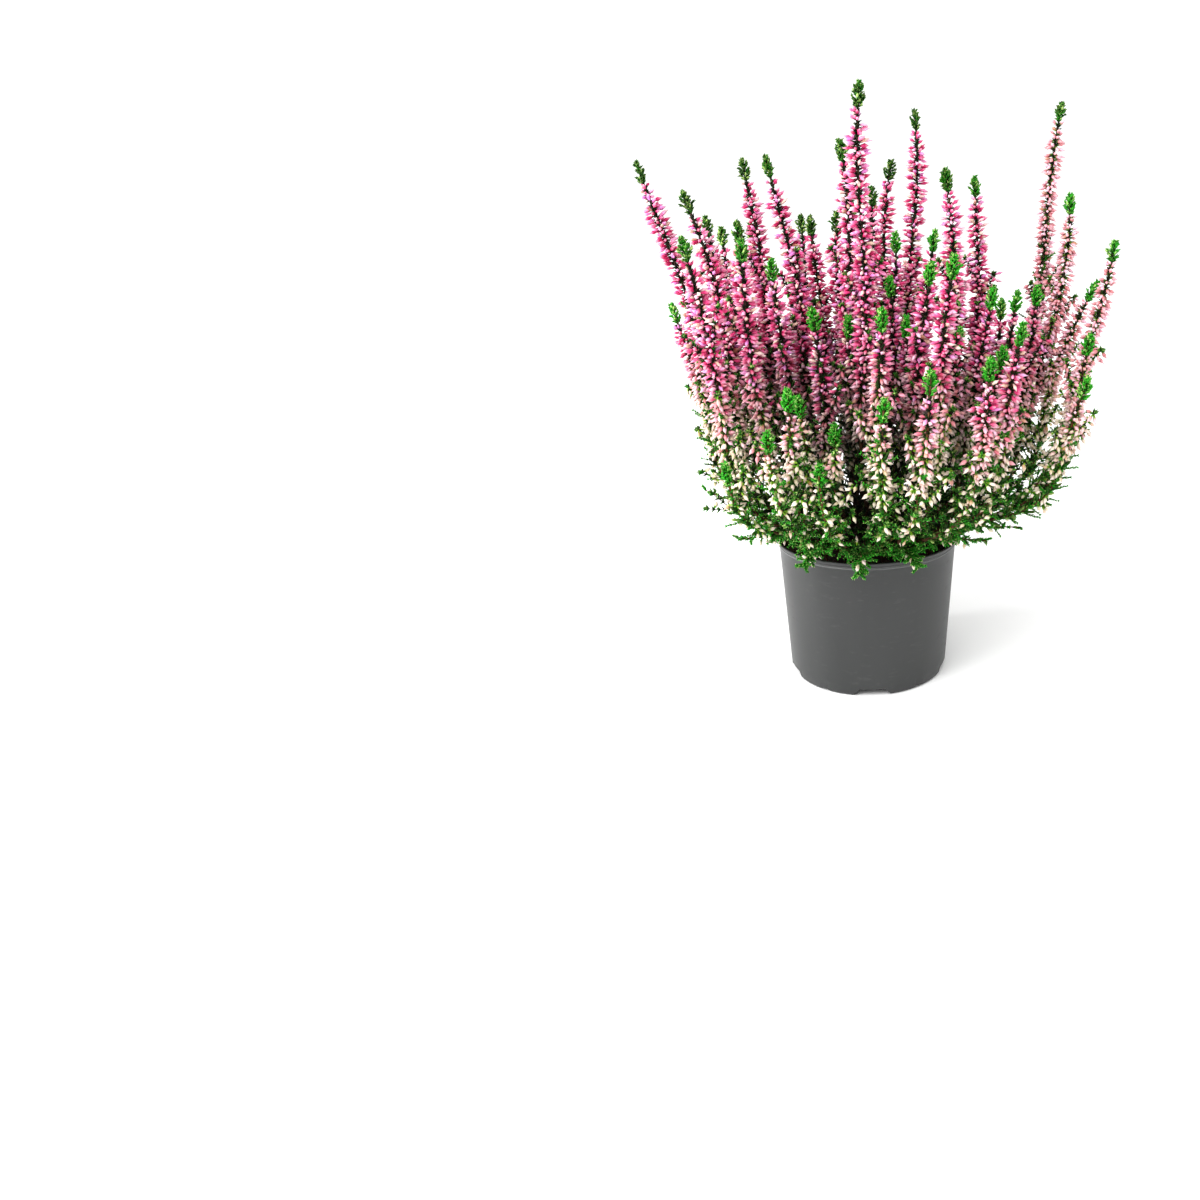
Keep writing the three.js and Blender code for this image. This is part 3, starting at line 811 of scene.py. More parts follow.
def bud_ripeness(spike, heights, random):
    """How ripe the buds are: cream low down, pink above, with a drift for each spike and a spread between
    buds. Spikes far out on the right are paler."""
    drift = random.normal(0, RIPE_DRIFT)
    spread = random.normal(0, RIPE_SPREAD, heights.shape)
    ripe = smoothstep(heights + drift + spread, CREAM_HEIGHT, PINK_HEIGHT)
    pale = PALE_SHARE * smoothstep(centreline(spike, heights)[..., 0], PALE_START, PALE_FULL)
    return ripe * (1 - pale)


def whorl_directions(frames, phase, number, spread, random):
    """Directions square to a stem at even turns, each whorl half a step on from the last, with a spread."""
    points, forward, across, upright = frames
    steps = np.arange(number)[None, :] + 0.5 * np.arange(len(points))[:, None]
    turn = steps * 2 * np.pi / number + phase + random.normal(0, spread, steps.shape)
    return round_about(across[:, None], upright[:, None], turn)


def grow_buds(growth, roots, directions, lengths, ripe, random, widths=BUD_WIDTH):
    """Buds of some ripeness, each with a chance that picks its colour and a roll about its own axis."""
    count = len(roots)
    chance = random.random(count)
    growth.copies(BUD, roots, directions, BUDS, lengths, widths, ripe, chance, random.uniform(0, 2, count))


def grow_whorls(growth, spike, random):
    """Whorls of buds, each whorl half a step on from the last: every bud stands out from the stem, rises a
    little where it is pink, more so near the tip, and hangs where it is cream. Small dark leaves stand
    between them and clasp the stem."""
    high = spike.tip - LEAFY_TIP
    low = lowest_buds(spike) - OUTER_DROP * smoothstep(spike.outerness, 0.1, 0.5)
    low = min(max(low, WHORL_FLOOR), high - 2 * BAND_PITCH)
    heights = even_heights(spike, low, high + 1, WHORL_PITCH)
    count = len(heights)
    frames = spike_frames(spike, heights)
    points, forward = frames[:2]
    below_tip = (count - 1 - np.arange(count))[:, None] * WHORL_PITCH
    shape = (count, WHORL_BUDS)
    outward = whorl_directions(frames, spike.phase, WHORL_BUDS, 0.25, random)
    shuffle = random.uniform(-0.45, 0.45, shape) * WHORL_PITCH
    ripe = bud_ripeness(spike, np.broadcast_to(heights[:, None], shape), random)
    lift = CREAM_LIFT + (PINK_LIFT - CREAM_LIFT) * ripe
    lift = lift + (TOP_LIFT - lift) * (1 - smoothstep(below_tip, 0, 16))
    lift = np.radians(lift + random.normal(0, LIFT_SPREAD, shape))
    grown = 0.7 + 0.3 * smoothstep(below_tip, 0, 14)
    full = SPARSE_SHARE + (1 - SPARSE_SHARE) * smoothstep(heights, SPARSE_HEIGHT, FULL_HEIGHT)[:, None]
    kept = random.random(shape) < full * (0.55 + 0.45 * smoothstep(below_tip, 1, 10))
    direction = unit(outward * np.cos(lift)[..., None] + forward[:, None] * np.sin(lift)[..., None])
    roots = points[:, None] + shuffle[..., None] * forward[:, None] + BUD_ROOT * outward
    size = grown * (0.82 + 0.18 * ripe) * random.uniform(0.78, 1.1, shape)
    plump = BUD_WIDTH * (0.75 + 0.25 * grown) * random.uniform(0.82, 1.15, shape)
    kept &= inside_box(roots + (BUD_LENGTH * size)[..., None] * direction, BUD_ROOM)
    lengths = (BUD_LENGTH * size)[kept]
    grow_buds(growth, roots[kept], direction[kept], lengths, ripe[kept], random, plump[kept])
    green = 0.1 + 0.72 * (1 - smoothstep(heights, 112, 178))[:, None]
    for number, lean, long, wide in WHORL_LEAVES:
        outward = whorl_directions(frames, spike.phase, number, 0.3, random)
        lengths = random.uniform(0.75, 1.05, (count, number)) * long
        tones = np.clip(green + random.normal(0, 0.1, (count, number)), 0, 1)
        place = points[:, None] + random.uniform(-2, 2, (count, number, 1)) * forward[:, None]
        facing = unit(outward + lean * forward[:, None]).reshape(-1, 3)
        growth.copies(
            LEAF, place.reshape(-1, 3), facing, LEAVES, lengths.ravel(), wide, tones.ravel(),
            random.random(tones.size), random.uniform(0, 6, tones.size),
        )


def inside_box(points, room):
    """Which points lie inside the solids' box by at least some room in millimetres."""
    low, high = np.array([cad_low, cad_high]) / MM
    return np.all((points > low + room) & (points < high - room), axis=-1)


def branch_heights(spike):
    """Heights of the side branches: close together low down at the crown's edge, wider apart above, and
    none on the free part of the spike, which is longest at the crown's edge."""
    first = FORK_HEIGHT + (FORK_BLEND + 2 if spike.parent else 5)
    low = max(min(lowest_buds(spike) - 35, BRANCH_LOW), first)
    top = BRANCH_TOP - BRANCH_EDGE_DROP * smoothstep(spike.outerness, 0.75, 1)
    high = min(spike.tip - BRANCH_FREE_SHARE * (spike.tip - FORK_HEIGHT), top)
    dense = max(low, min(LOW_BRANCH_TOP, high))
    rows = [
        even_heights(spike, start, end, pitch)
        for start, end, pitch in ((low, dense, LOW_BRANCH_PITCH), (dense, high, BRANCH_PITCH))
        if end > start + pitch
    ]
    return np.concatenate(rows) if rows else np.empty(0)


def branch_lines(spike, heights, random):
    """Roots, directions, lengths, lowness and ends of the side branches at some heights: each leaves its
    spike at a slant, a golden turn on from the last, and low ones lean out of the crown and are longer.
    A branch that would leave the solids' box, or low down the crown's own round, is left out."""
    points, forward, across, upright = spike_frames(spike, heights)
    outward = round_about(across, upright, np.arange(len(heights)) * GOLDEN_TURN + spike.phase + 1)
    low = 1 - smoothstep(heights, 96, 140)
    slant = (0.5 + 0.4 * low)[:, None] * outward + (0.35 * low)[:, None] * away_from_middle(spike)
    direction = unit(slant + (1 - 0.25 * low)[:, None] * forward)
    length = random.uniform(17, 26, len(heights)) + 5 * low
    ends = points + (length - 3)[:, None] * direction
    reach = np.hypot(ends[:, 0], ends[:, 1]) / (CROWN_RADIUS * fan(ends[:, 2]))
    room = inside_box(ends, EDGE_ROOM) & ((reach < BRANCH_REACH) | (heights > LOW_BRANCH_TOP))
    return [rows[room] for rows in (points, direction, length, low, ends)]


def grow_branches(growth, spike, random):
    """Short straight side branches that fill the crown between the spikes, with buds round them at even
    steps and a knobby green end. Low ones carry more leaves than buds."""
    heights = branch_heights(spike)
    if len(heights) == 0:
        return
    points, direction, length, low, ends = branch_lines(spike, heights, random)
    count = len(points)
    growth.copies(TWIG, points, direction, BARK, length, 0.4, 0.3, random.random(count))
    crooked = 0.45 * random.normal(0, 0.7, (BRANCH_ENDS * count, 3))
    splayed = unit(np.repeat(direction, BRANCH_ENDS, axis=0) + crooked)
    grow_clubs(growth, np.repeat(ends, BRANCH_ENDS, axis=0), splayed, 3.4, 0.55, random)
    share = (np.arange(BRANCH_STEPS) + 1.2) / (BRANCH_STEPS + 1)
    shape = (count, BRANCH_STEPS, BRANCH_BUDS)
    steps = np.arange(BRANCH_BUDS) + 0.5 * np.arange(BRANCH_STEPS)[:, None]
    turn = 2 * np.pi / BRANCH_BUDS * steps + random.normal(0, 0.3, shape)
    around = round_twigs(direction, turn)
    places = points[:, None] + (length[:, None] * share[None])[..., None] * direction[:, None]
    places = np.broadcast_to(places[:, :, None], (*shape, 3))
    ripe = bud_ripeness(spike, places[..., 2], random)
    lift = CREAM_LIFT + (PINK_LIFT - CREAM_LIFT) * ripe
    lift = np.radians(lift + random.normal(0, LIFT_SPREAD, shape))
    facing = unit(around * np.cos(lift)[..., None] + direction[:, None, None] * np.sin(lift)[..., None])
    full = SPARSE_SHARE + (1 - SPARSE_SHARE) * smoothstep(places[..., 2], SPARSE_HEIGHT, FULL_HEIGHT)
    kept = random.random(shape) < full
    lengths = BUD_LENGTH * random.uniform(0.7, 1.0, kept.sum())
    grow_buds(growth, places[kept], facing[kept], lengths, ripe[kept], random)
    leafy = random.random(shape) < np.where(np.arange(BRANCH_BUDS) < 2, 1.0, low[:, None, None])
    toward = unit(facing + direction[:, None, None])[leafy]
    # painted shade: leaf tones darker on high and inner branches, brighter on low ones at the crown's edge
    bright = 0.22 + 0.3 * low * spike.outerness ** 2
    tones = np.broadcast_to(bright[:, None, None], shape)[leafy] + random.normal(0, 0.2, leafy.sum())
    growth.copies(
        LEAF, places[leafy], toward, LEAVES, random.uniform(2.6, 3.4, len(toward)), 1.8,
        np.clip(tones, 0, 1), random.random(len(toward)),
    )


def grow_clubs(growth, roots, directions, lengths, tone, random):
    """Knobby leafy shoots a few millimetres long: a plump club, and on it four scale leaves in two crossed
    pairs that stand off towards its end."""
    lengths = np.broadcast_to(lengths, len(roots))
    kept = inside_box(roots + lengths[:, None] * directions, CLUB_ROOM)
    roots, directions, lengths = roots[kept], directions[kept], lengths[kept]
    count = len(roots)
    tones = tone + random.normal(0, 0.07, count)
    growth.copies(
        CLUB, roots, directions, LEAVES, lengths, random.uniform(0.62, 0.8, count), tones,
        random.random(count), random.uniform(0, 6, count),
    )
    turn = np.pi / 2 * np.arange(CLUB_LEAVES) + random.uniform(0, 6, (count, 1))
    outward = round_twigs(directions, turn)
    along = lengths[:, None] * np.linspace(0.3, 0.78, CLUB_LEAVES)
    places = roots[:, None] + along[..., None] * directions[:, None] + 0.3 * outward
    facing = unit(0.75 * outward + directions[:, None])
    growth.copies(
        LEAF, places.reshape(-1, 3), facing.reshape(-1, 3), LEAVES, 1.75, 1.3,
        np.repeat(tones + 0.05, CLUB_LEAVES), random.random(count * CLUB_LEAVES),
    )


def grow_tip(growth, spike, random):
    """Leafy tip: levels of knobby shoots round the stem, each level turned on by half a step and leaning
    out less than the one below, and three of them upright at the end. Tips differ in how wide they are."""
    levels = np.arange(TIP_LEVELS)
    share = levels / (TIP_LEVELS - 1)
    heights = spike.tip - LEAFY_TIP + 0.2 + levels * TIP_PITCH
    frames = spike_frames(spike, heights)
    points, forward, across, upright = frames
    shape = (TIP_LEVELS, TIP_CLUBS)
    outward = whorl_directions(frames, spike.phase, TIP_CLUBS, 0.2, random)
    broad = random.uniform(0.75, 1.15)
    splay = np.interp(share, [0, 0.4, 1], TIP_SPLAY)[:, None] * broad
    splay = np.radians(splay + random.normal(0, 6, shape))
    direction = unit(outward * np.sin(splay)[..., None] + forward[:, None] * np.cos(splay)[..., None])
    length = np.interp(share, [0, 0.35, 1], TIP_LENGTHS)[:, None] * random.uniform(0.8, 1.12, shape)
    tone = tip_tone(spike, random)
    roots = np.broadcast_to(points[:, None], (*shape, 3)).reshape(-1, 3)
    grow_clubs(growth, roots, direction.reshape(-1, 3), length.ravel(), tone, random)
    ends = centreline(spike, np.full(len(END_CLUBS), spike.tip - END_CLUB_DROP))
    lean = np.array([[0, 0], [0.32, 0.1], [-0.3, -0.12]])
    upward = unit(forward[-1] + lean[:, :1] * across[-1] + lean[:, 1:] * upright[-1])
    grow_clubs(growth, ends, upward, np.array(END_CLUBS), tone, random)


def grow_sprigs(growth, roots, directions, lengths, tone, random, leaf=2.2, pairs=8):
    """Feathery sprigs: a thin twig with crossed pairs of needle leaves, which lean forward and grow
    shorter towards the end. Roots, directions and lengths are rows of equal number."""
    count = len(roots)
    growth.copies(TWIG, roots, directions, BARK, lengths, 0.3, 0.8, random.random(count))
    share = (np.arange(pairs) + 0.6) / pairs
    shape = (count, pairs, 2)
    turn = np.pi * (np.arange(2) + 0.5 * np.arange(pairs)[:, None]) + random.normal(0.4, 0.25, shape)
    outward = round_twigs(directions, turn)
    bearer = roots[:, None] + directions[:, None] * (share[None, :] * lengths[:, None])[..., None]
    bearer = np.broadcast_to(bearer[:, :, None], (*shape, 3))
    facing = unit(0.8 * outward + directions[:, None, None] + random.normal(0, 0.12, (*shape, 3)))
    long = leaf * (1 - 0.35 * share ** 2)[None, :, None] * random.uniform(0.8, 1.15, shape)
    tones = np.broadcast_to(np.asarray(tone)[:, None, None], shape) + 0.15 * share[None, :, None]
    growth.copies(
        LEAF, bearer.reshape(-1, 3), facing.reshape(-1, 3), LEAVES, long.ravel(), 1.35,
        np.clip(tones + random.normal(0, 0.08, shape), 0, 1).ravel(), random.random(shape).ravel(),
        random.uniform(0, 6, shape).ravel(),
    )


def grow_clusters(growth, spike, places, directions, random):
    """Clusters of hanging buds at some places: each bud leans off its twig's direction by a half angle of
    about 60 degrees, at even turns round it."""
    shape = (len(places), CLUSTER_BUDS)
    step = 2 * np.pi / CLUSTER_BUDS
    turn = np.arange(CLUSTER_BUDS)[None, :] * step + random.uniform(0, 1.5, shape)
    outward = round_twigs(directions, turn)
    drop = np.array([0, 0, -0.45])
    crooked = random.normal(0, 0.15, (*shape, 3))
    facing = unit(0.95 * outward + 0.55 * directions[:, None] + drop + crooked).reshape(-1, 3)
    ripe = bud_ripeness(spike, np.repeat(places[:, 2:], CLUSTER_BUDS, axis=1), random)
    roots = np.repeat(places, CLUSTER_BUDS, axis=0)
    lengths = BUD_LENGTH * random.uniform(0.7, 0.95, shape).ravel()
    grow_buds(growth, roots, facing, lengths, 0.7 * ripe.ravel(), random)


def grow_foliage(growth, spike, random):
    """Side twigs from the rim up to the full whorls: feathery at the crown's edge, some of them with a
    cluster of buds at the end, and tufts. Their tones are painted shade: dark inside the crown, where little
    light comes, brighter at its edge, and the tufts darker still."""
    start = FORK_HEIGHT + 4 if spike.parent else SOIL_TOP + 4
    end = min(lowest_buds(spike) + 50 * spike.outerness, spike.tip - LEAFY_TIP - 12)
    heights = even_heights(spike, start, end, SPRIG_PITCH)
    count = len(heights)
    points, forward, across, upright = spike_frames(spike, heights)
    outward = round_about(across, upright, np.arange(count) * GOLDEN_TURN + spike.phase)
    low = 1 - smoothstep(heights, 84, 104)
    away = away_from_middle(spike)
    lean = outward + (0.9 * low)[:, None] * away + (0.8 - 0.9 * low)[:, None] * forward
    direction = unit(lean + random.normal(0, 0.15, (count, 3)))
    bright = spike.outerness ** 2
    length = random.uniform(6, 10, count) + 5 * bright * random.random(count)
    length *= 0.6 + 0.4 * smoothstep(heights, 84, 98)
    # painted shade: twig tones darker deep inside the crown, brighter at its edge
    tone = np.clip(0.32 + 0.44 * bright + random.normal(0, 0.14, count), 0.05, 1)
    feathery = random.random(count) < 0.3 + 0.7 * bright
    grow_sprigs(growth, points[feathery], direction[feathery], length[feathery], tone[feathery], random)
    # painted shade: tufts at half their twig's tone, darkest deep inside the crown
    growth.copies(
        TUFT, points, unit(direction + 0.8 * forward), LEAVES, 0.8 * length, 1.15, tone * 0.5,
        random.random(count), random.uniform(0, 6, count),
    )
    budding = random.random(count) < CLUSTER_SHARE * bright * smoothstep(heights, 92, 125)
    ends = points + 0.75 * length[:, None] * direction
    grow_clusters(growth, spike, ends[budding], direction[budding], random)


def make_stem(number, spike, finishes):
    """One woody stem with its one or two spikes, in the place of its solid."""
    growth = Growth()
    random = np.random.default_rng(STEM_SEED + number)
    for part in filter(None, (spike, spike.child)):
        grow_stem(growth, part)
        grow_whorls(growth, part, random)
        grow_branches(growth, part, random)
        grow_tip(growth, part, random)
        grow_foliage(growth, part, random)
    growth.piece(f"heather_stem_{number:02d}", finishes, f"flower_stem_{number:02d}", "flower_spikes")


def spline(knots, count):
    """Points along a smooth curve through the knots, a centripetal Catmull-Rom one: each stretch is a cubic
    whose end slopes come from the roots of the distances to the neighbouring knots."""
    knots = np.asarray(knots, float)
    ends = [2 * knots[0] - knots[1], 2 * knots[-1] - knots[-2]]
    knots = np.vstack([ends[0], knots, ends[1]])
    span = np.sqrt(np.linalg.norm(np.diff(knots, axis=0), axis=1))[:, None]
    before, here, after = span[:-2], span[1:-1], span[2:]
    p0, p1, p2, p3 = knots[:-3], knots[1:-2], knots[2:-1], knots[3:]
    slope1 = ((p1 - p0) / before - (p2 - p0) / (before + here) + (p2 - p1) / here) * here
    slope2 = ((p2 - p1) / here - (p3 - p1) / (here + after) + (p3 - p2) / after) * here
    t = np.linspace(0, len(p1), count, endpoint=True)
    stretch = np.minimum(t.astype(int), len(p1) - 1)
    t = (t - stretch)[:, None]
    cubic = (2 * t ** 3 - 3 * t ** 2 + 1) * p1[stretch] + (t ** 3 - 2 * t ** 2 + t) * slope1[stretch]
    return cubic + (3 * t ** 2 - 2 * t ** 3) * p2[stretch] + (t ** 3 - t ** 2) * slope2[stretch]


def shoot_path(angle, reach, tip_height):
    """Centreline of a leafy shoot: upright out of the soil, over the rim, and outwards to its tip."""
    bend = POT_HEIGHT + SHOOT_RISE
    knots = [
        (SHOOT_ROOT, SOIL_TOP - HOLE_DEPTH), (SHOOT_ROOT, SOIL_TOP - HOLE_DEPTH / 2),
        (SHOOT_ROOT + 0.1, SOIL_TOP), (SHOOT_ROOT + 2, POT_HEIGHT), (RIM_RADIUS - 3, bend),
        (RIM_RADIUS + 5, bend + 0.3 * (tip_height - bend)), (reach - 2.5, tip_height),
    ]
    return spline([(r * math.cos(angle), r * math.sin(angle), z) for r, z in knots], SHOOT_POINTS)


def make_shoot(number, turn, reach, tip_height, finishes):
    """A leafy shoot on its solid's line: a thin twig over the rim, long side sprigs that spread along the
    rim to both sides, shorter ones out to the end, needles on the twig, and a few cream buds."""
    growth = Growth()
    random = np.random.default_rng(SHOOT_SEED + number)
    angle = math.radians(turn)
    path = shoot_path(angle, reach, tip_height)
    sideways = np.array([-math.sin(angle), math.cos(angle), 0])
    share = np.linspace(0, 1, SHOOT_POINTS)
    growth.tube(path, 0.85 - 0.5 * share, sideways, 6, BARK, 1 - 0.4 * share)
    forward, across, upright = line_frames(path, sideways)
    away = np.array([math.cos(angle), math.sin(angle), 0])

    rim = np.arange(*SHOOT_RIM_POINTS)
    side = np.where(np.arange(len(rim)) % 2, 1, -1)[:, None]
    slant = random.uniform(0.1, 1.1, (len(rim), 1))
    rise = np.array([0, 0, 1]) * random.uniform(0.05, 0.7, (len(rim), 1))
    direction = unit(side * across[rim] + slant * away + rise)
    tone = np.clip(random.normal(0.62, 0.14, len(rim)), 0.2, 1)
    grow_sprigs(growth, path[rim], direction, random.uniform(8, 16, len(rim)), tone, random, 2.4, 11)

    outer = np.arange(SHOOT_OUTER_POINT, SHOOT_POINTS)
    side = np.where(np.arange(len(outer)) % 2, 1, -1)[:, None]
    crooked = random.normal(0, 0.3, (len(outer), 3))
    direction = unit(side * across[outer] + 0.8 * forward[outer] + crooked)
    length = random.uniform(6, 10, len(outer)) * np.linspace(1, 0.5, len(outer))
    tone = np.clip(random.normal(0.66, 0.12, len(outer)), 0.3, 1)
    grow_sprigs(growth, path[outer], direction, length, tone, random)
    grow_sprigs(growth, path[-12:-11], forward[-12:-11], np.array([9.0]), np.array([0.85]), random)

    needles = np.repeat(np.arange(SHOOT_NEEDLE_POINT, SHOOT_POINTS - 1), 4)
    around = round_about(across[needles], upright[needles], np.arange(len(needles)) * 2.0)
    facing = unit(0.8 * around + forward[needles] + random.normal(0, 0.12, (len(needles), 3)))
    growth.copies(
        LEAF, path[needles], facing, LEAVES, random.uniform(2.2, 3.2, len(needles)), 1.5,
        np.clip(random.normal(0.7, 0.12, len(needles)), 0, 1), random.random(len(needles)),
    )

    budding = outer[4:18:2]
    hang = unit(random.normal(0, 0.6, (len(budding), 3)) + away - np.array([0, 0, 1.1]))
    lengths = BUD_LENGTH * random.uniform(0.75, 0.95, len(budding))
    ripe = random.uniform(0, 0.15, len(budding))
    grow_buds(growth, path[budding], hang, lengths, ripe, random)
    growth.piece(f"green_shoot_{number:02d}", finishes, f"leafy_shoot_{number:02d}", "foliage")


def wall_radius(height):
    """Outer radius of the pot's straight wall."""
    slope = (SHOULDER_RADIUS - FOOT_RADIUS) / (SHOULDER_HEIGHT - FOOT_BEVEL)
    return FOOT_RADIUS + slope * (height - FOOT_BEVEL)


def make_soil(finish):
    """Root ball: its crumbly top is a disc raised by crossed waves of several lengths, its side follows
    the pot's wall, and its foot steps over the notch covers. Loose crumbs and fibres lie on it."""
    growth = Growth()
    random = np.random.default_rng(SOIL_SEED)
    inside = FOOT_RADIUS - NOTCH_DEPTH - WALL - GAP
    step_height = WIDE_NOTCH["height"] + WALL + GAP
    edge = wall_radius(SOIL_TOP - 2) - WALL - SOIL_INSET
    profile = [
        (inside, WALL + GAP), (inside, step_height),
        (wall_radius(step_height) - WALL - SOIL_INSET - 0.6, step_height), (edge, SOIL_TOP - 2),
    ]
    radius = np.concatenate([[r for r, _ in profile], np.linspace(edge - 0.8, 1.5, SOIL_RINGS)])
    height = np.concatenate([[z for _, z in profile], np.full(SOIL_RINGS, SOIL_TOP - 1.2)])
    angle = np.arange(SOIL_SIDES) * 2 * np.pi / SOIL_SIDES
    x = radius[:, None] * np.cos(angle)
    y = radius[:, None] * np.sin(angle)
    z = np.repeat(height[:, None], SOIL_SIDES, axis=1)
    top = slice(len(profile), None)
    for wave in range(SOIL_WAVES):
        turn, pace = random.uniform(0, 6), 0.12 * 1.55 ** wave
        ripple = np.sin(pace * (x * math.cos(turn) + y * math.sin(turn)) + wave)
        cross = np.sin(pace * (y * math.cos(turn) - x * math.sin(turn)) + 2 * wave)
        z[top] += (0.8 / (1 + wave) * ripple * cross)[top]
    z[top] = np.minimum(z[top], SOIL_TOP)
    grid = np.stack([x, y, z], -1).reshape(-1, 3)
    points = np.vstack([[0, 0, WALL + GAP], grid, [0, 0, z[-1].mean()]])
    growth.add(points, ring_faces(len(radius), SOIL_SIDES), PEAT)
    scatter_crumbs(growth, random, edge)
    growth.piece("peat_ball", [finish], "soil", "peat")


def scatter_crumbs(growth, random, edge):
    """Loose peat crumbs and short fibres, spread evenly over the disc of the soil and half sunk in it."""
    radius = (edge - 1.5) * np.sqrt(random.random(CRUMB_COUNT))
    turn = random.uniform(0, 2 * np.pi, CRUMB_COUNT)
    level = np.full(CRUMB_COUNT, SOIL_TOP - 0.9)
    spot = np.stack([radius * np.cos(turn), radius * np.sin(turn), level], -1)
    size = random.uniform(0.8, 2.4, CRUMB_COUNT)
    lie = unit(random.normal(0, 1, (CRUMB_COUNT, 3)) * [1, 1, 0.35])
    growth.copies(CRUMB, spot, lie, PEAT, size, size, 0.5, random.random(CRUMB_COUNT))
    chance = random.random(CRUMB_COUNT)[::3]
    growth.copies(TWIG, spot[::3], lie[::3], PEAT, 3.2 * size[::3], 0.18, 0.5, chance)


def notch_turns():
    """Turns round the pot from the middle of a wide notch to the next: every corner of a notch and of a
    drain slot, and even steps between them."""
    period = 2 * np.pi / NOTCH_COUNT
    corners = [
        0, DRAIN_SLOT["width"] / 2 / SLOT_PLACE, WIDE_NOTCH["top"] / 2 / FOOT_RADIUS,
        WIDE_NOTCH["bottom"] / 2 / FOOT_RADIUS, period / 2 - SMALL_NOTCH["bottom"] / 2 / FOOT_RADIUS,
        period / 2 - SMALL_NOTCH["top"] / 2 / FOOT_RADIUS, period / 2,
    ]
    steps = [
        np.linspace(start, end, max(2, math.ceil((end - start) / POT_STEP) + 1))
        for start, end in zip(corners, corners[1:])
    ]
    half = np.unique(np.round(np.concatenate(steps), 9))
    one = np.concatenate([half, period - half[-2:0:-1]])
    return (NOTCH_TURN + period * np.arange(NOTCH_COUNT)[:, None] + one).ravel(), one, period


def arc(centre, radius, start, end, count):
    """Points of a round in the pot's profile, from one angle to another in degrees."""
    angle = np.radians(np.linspace(start, end, count))
    return [(centre[0] + radius * math.cos(a), centre[1] + radius * math.sin(a)) for a in angle]


def wall_profile():
    """The pot's outline above its foot: up the wall, over the bead and the band that widens to the rim,
    round the lip, and down inside past the band."""
    outer = [(wall_radius(z), z) for z in WALL_HEIGHTS]
    outer += [(SHOULDER_RADIUS - 0.05, SHOULDER_HEIGHT - 0.9)]
    outer += [(SHOULDER_RADIUS + 0.15, SHOULDER_HEIGHT - 0.45)]
    outer += arc((SHOULDER_RADIUS + 0.25, SHOULDER_HEIGHT + 0.3), BEAD_ROUND, -60, 70, 7)
    outer += [(BAND_RADIUS - 0.1, SHOULDER_HEIGHT + 1.3), (RIM_RADIUS - 0.25, POT_HEIGHT - 1.2)]
    outer += arc((RIM_RADIUS - LIP_ROUND, POT_HEIGHT - LIP_ROUND), LIP_ROUND, 0, 90, 5)
    outer += arc((RIM_RADIUS - WALL + LIP_ROUND, POT_HEIGHT - LIP_ROUND), LIP_ROUND, 90, 180, 5)
    outer += [(BAND_RADIUS - WALL, SHOULDER_HEIGHT + 1.5)]
    return outer + [(SHOULDER_RADIUS - WALL, SHOULDER_HEIGHT - 1)]


def pot_faces(rows, sides, open_slot):
    """Faces of the pot's grid of points, closed by a pole at both ends. Where a drain slot is open, the
    underside and the floor above it have none, and four walls join their edges."""
    number = 1 + np.arange(rows * sides).reshape(rows, sides)
    number = np.hstack([number, number[:, :1]])
    quads = np.stack([number[:-1, :-1], number[:-1, 1:], number[1:, 1:], number[1:, :-1]], -1)
    below, above = SLOT_ROW, rows - 2 - SLOT_ROW
    kept = np.ones(quads.shape[:2], bool)
    kept[below, open_slot] = False
    kept[above, open_slot] = False
    cells = np.flatnonzero(open_slot)
    walls = []
    for lower, upper, turn_back in ((below, above + 1, False), (below + 1, above, True)):
        corners = [(lower, cells), (lower, cells + 1), (upper, cells + 1), (upper, cells)]
        band = [number[corner] for corner in corners]
        walls.append(np.stack(band[::-1] if turn_back else band, -1))
    firsts, lasts = cells[~open_slot[cells - 1]], cells[~open_slot[(cells + 1) % sides]] + 1
    for ends, turn_back in ((firsts, True), (lasts, False)):
        band = [number[row, ends] for row in (below, below + 1, above, above + 1)]
        walls.append(np.stack(band[::-1] if turn_back else band, -1))
    bottom = np.stack([np.zeros(sides, int), number[0, 1:], number[0, :-1]], -1)
    top = np.stack([number[-1, :-1], number[-1, 1:], np.full(sides, 1 + rows * sides)], -1)
    return quads[kept].tolist() + np.vstack(walls).tolist() + bottom.tolist() + top.tolist()


def merge_doubles(mesh):
    """Joins points that lie together, drops faces without an area, and turns all faces outwards."""
    work = bmesh.new()
    work.from_mesh(mesh)
    bmesh.ops.remove_doubles(work, verts=work.verts, dist=MERGE_DISTANCE)
    bmesh.ops.dissolve_degenerate(work, edges=work.edges, dist=MERGE_DISTANCE)
    bmesh.ops.recalc_face_normals(work, faces=work.faces)
    work.to_mesh(mesh)
    work.free()


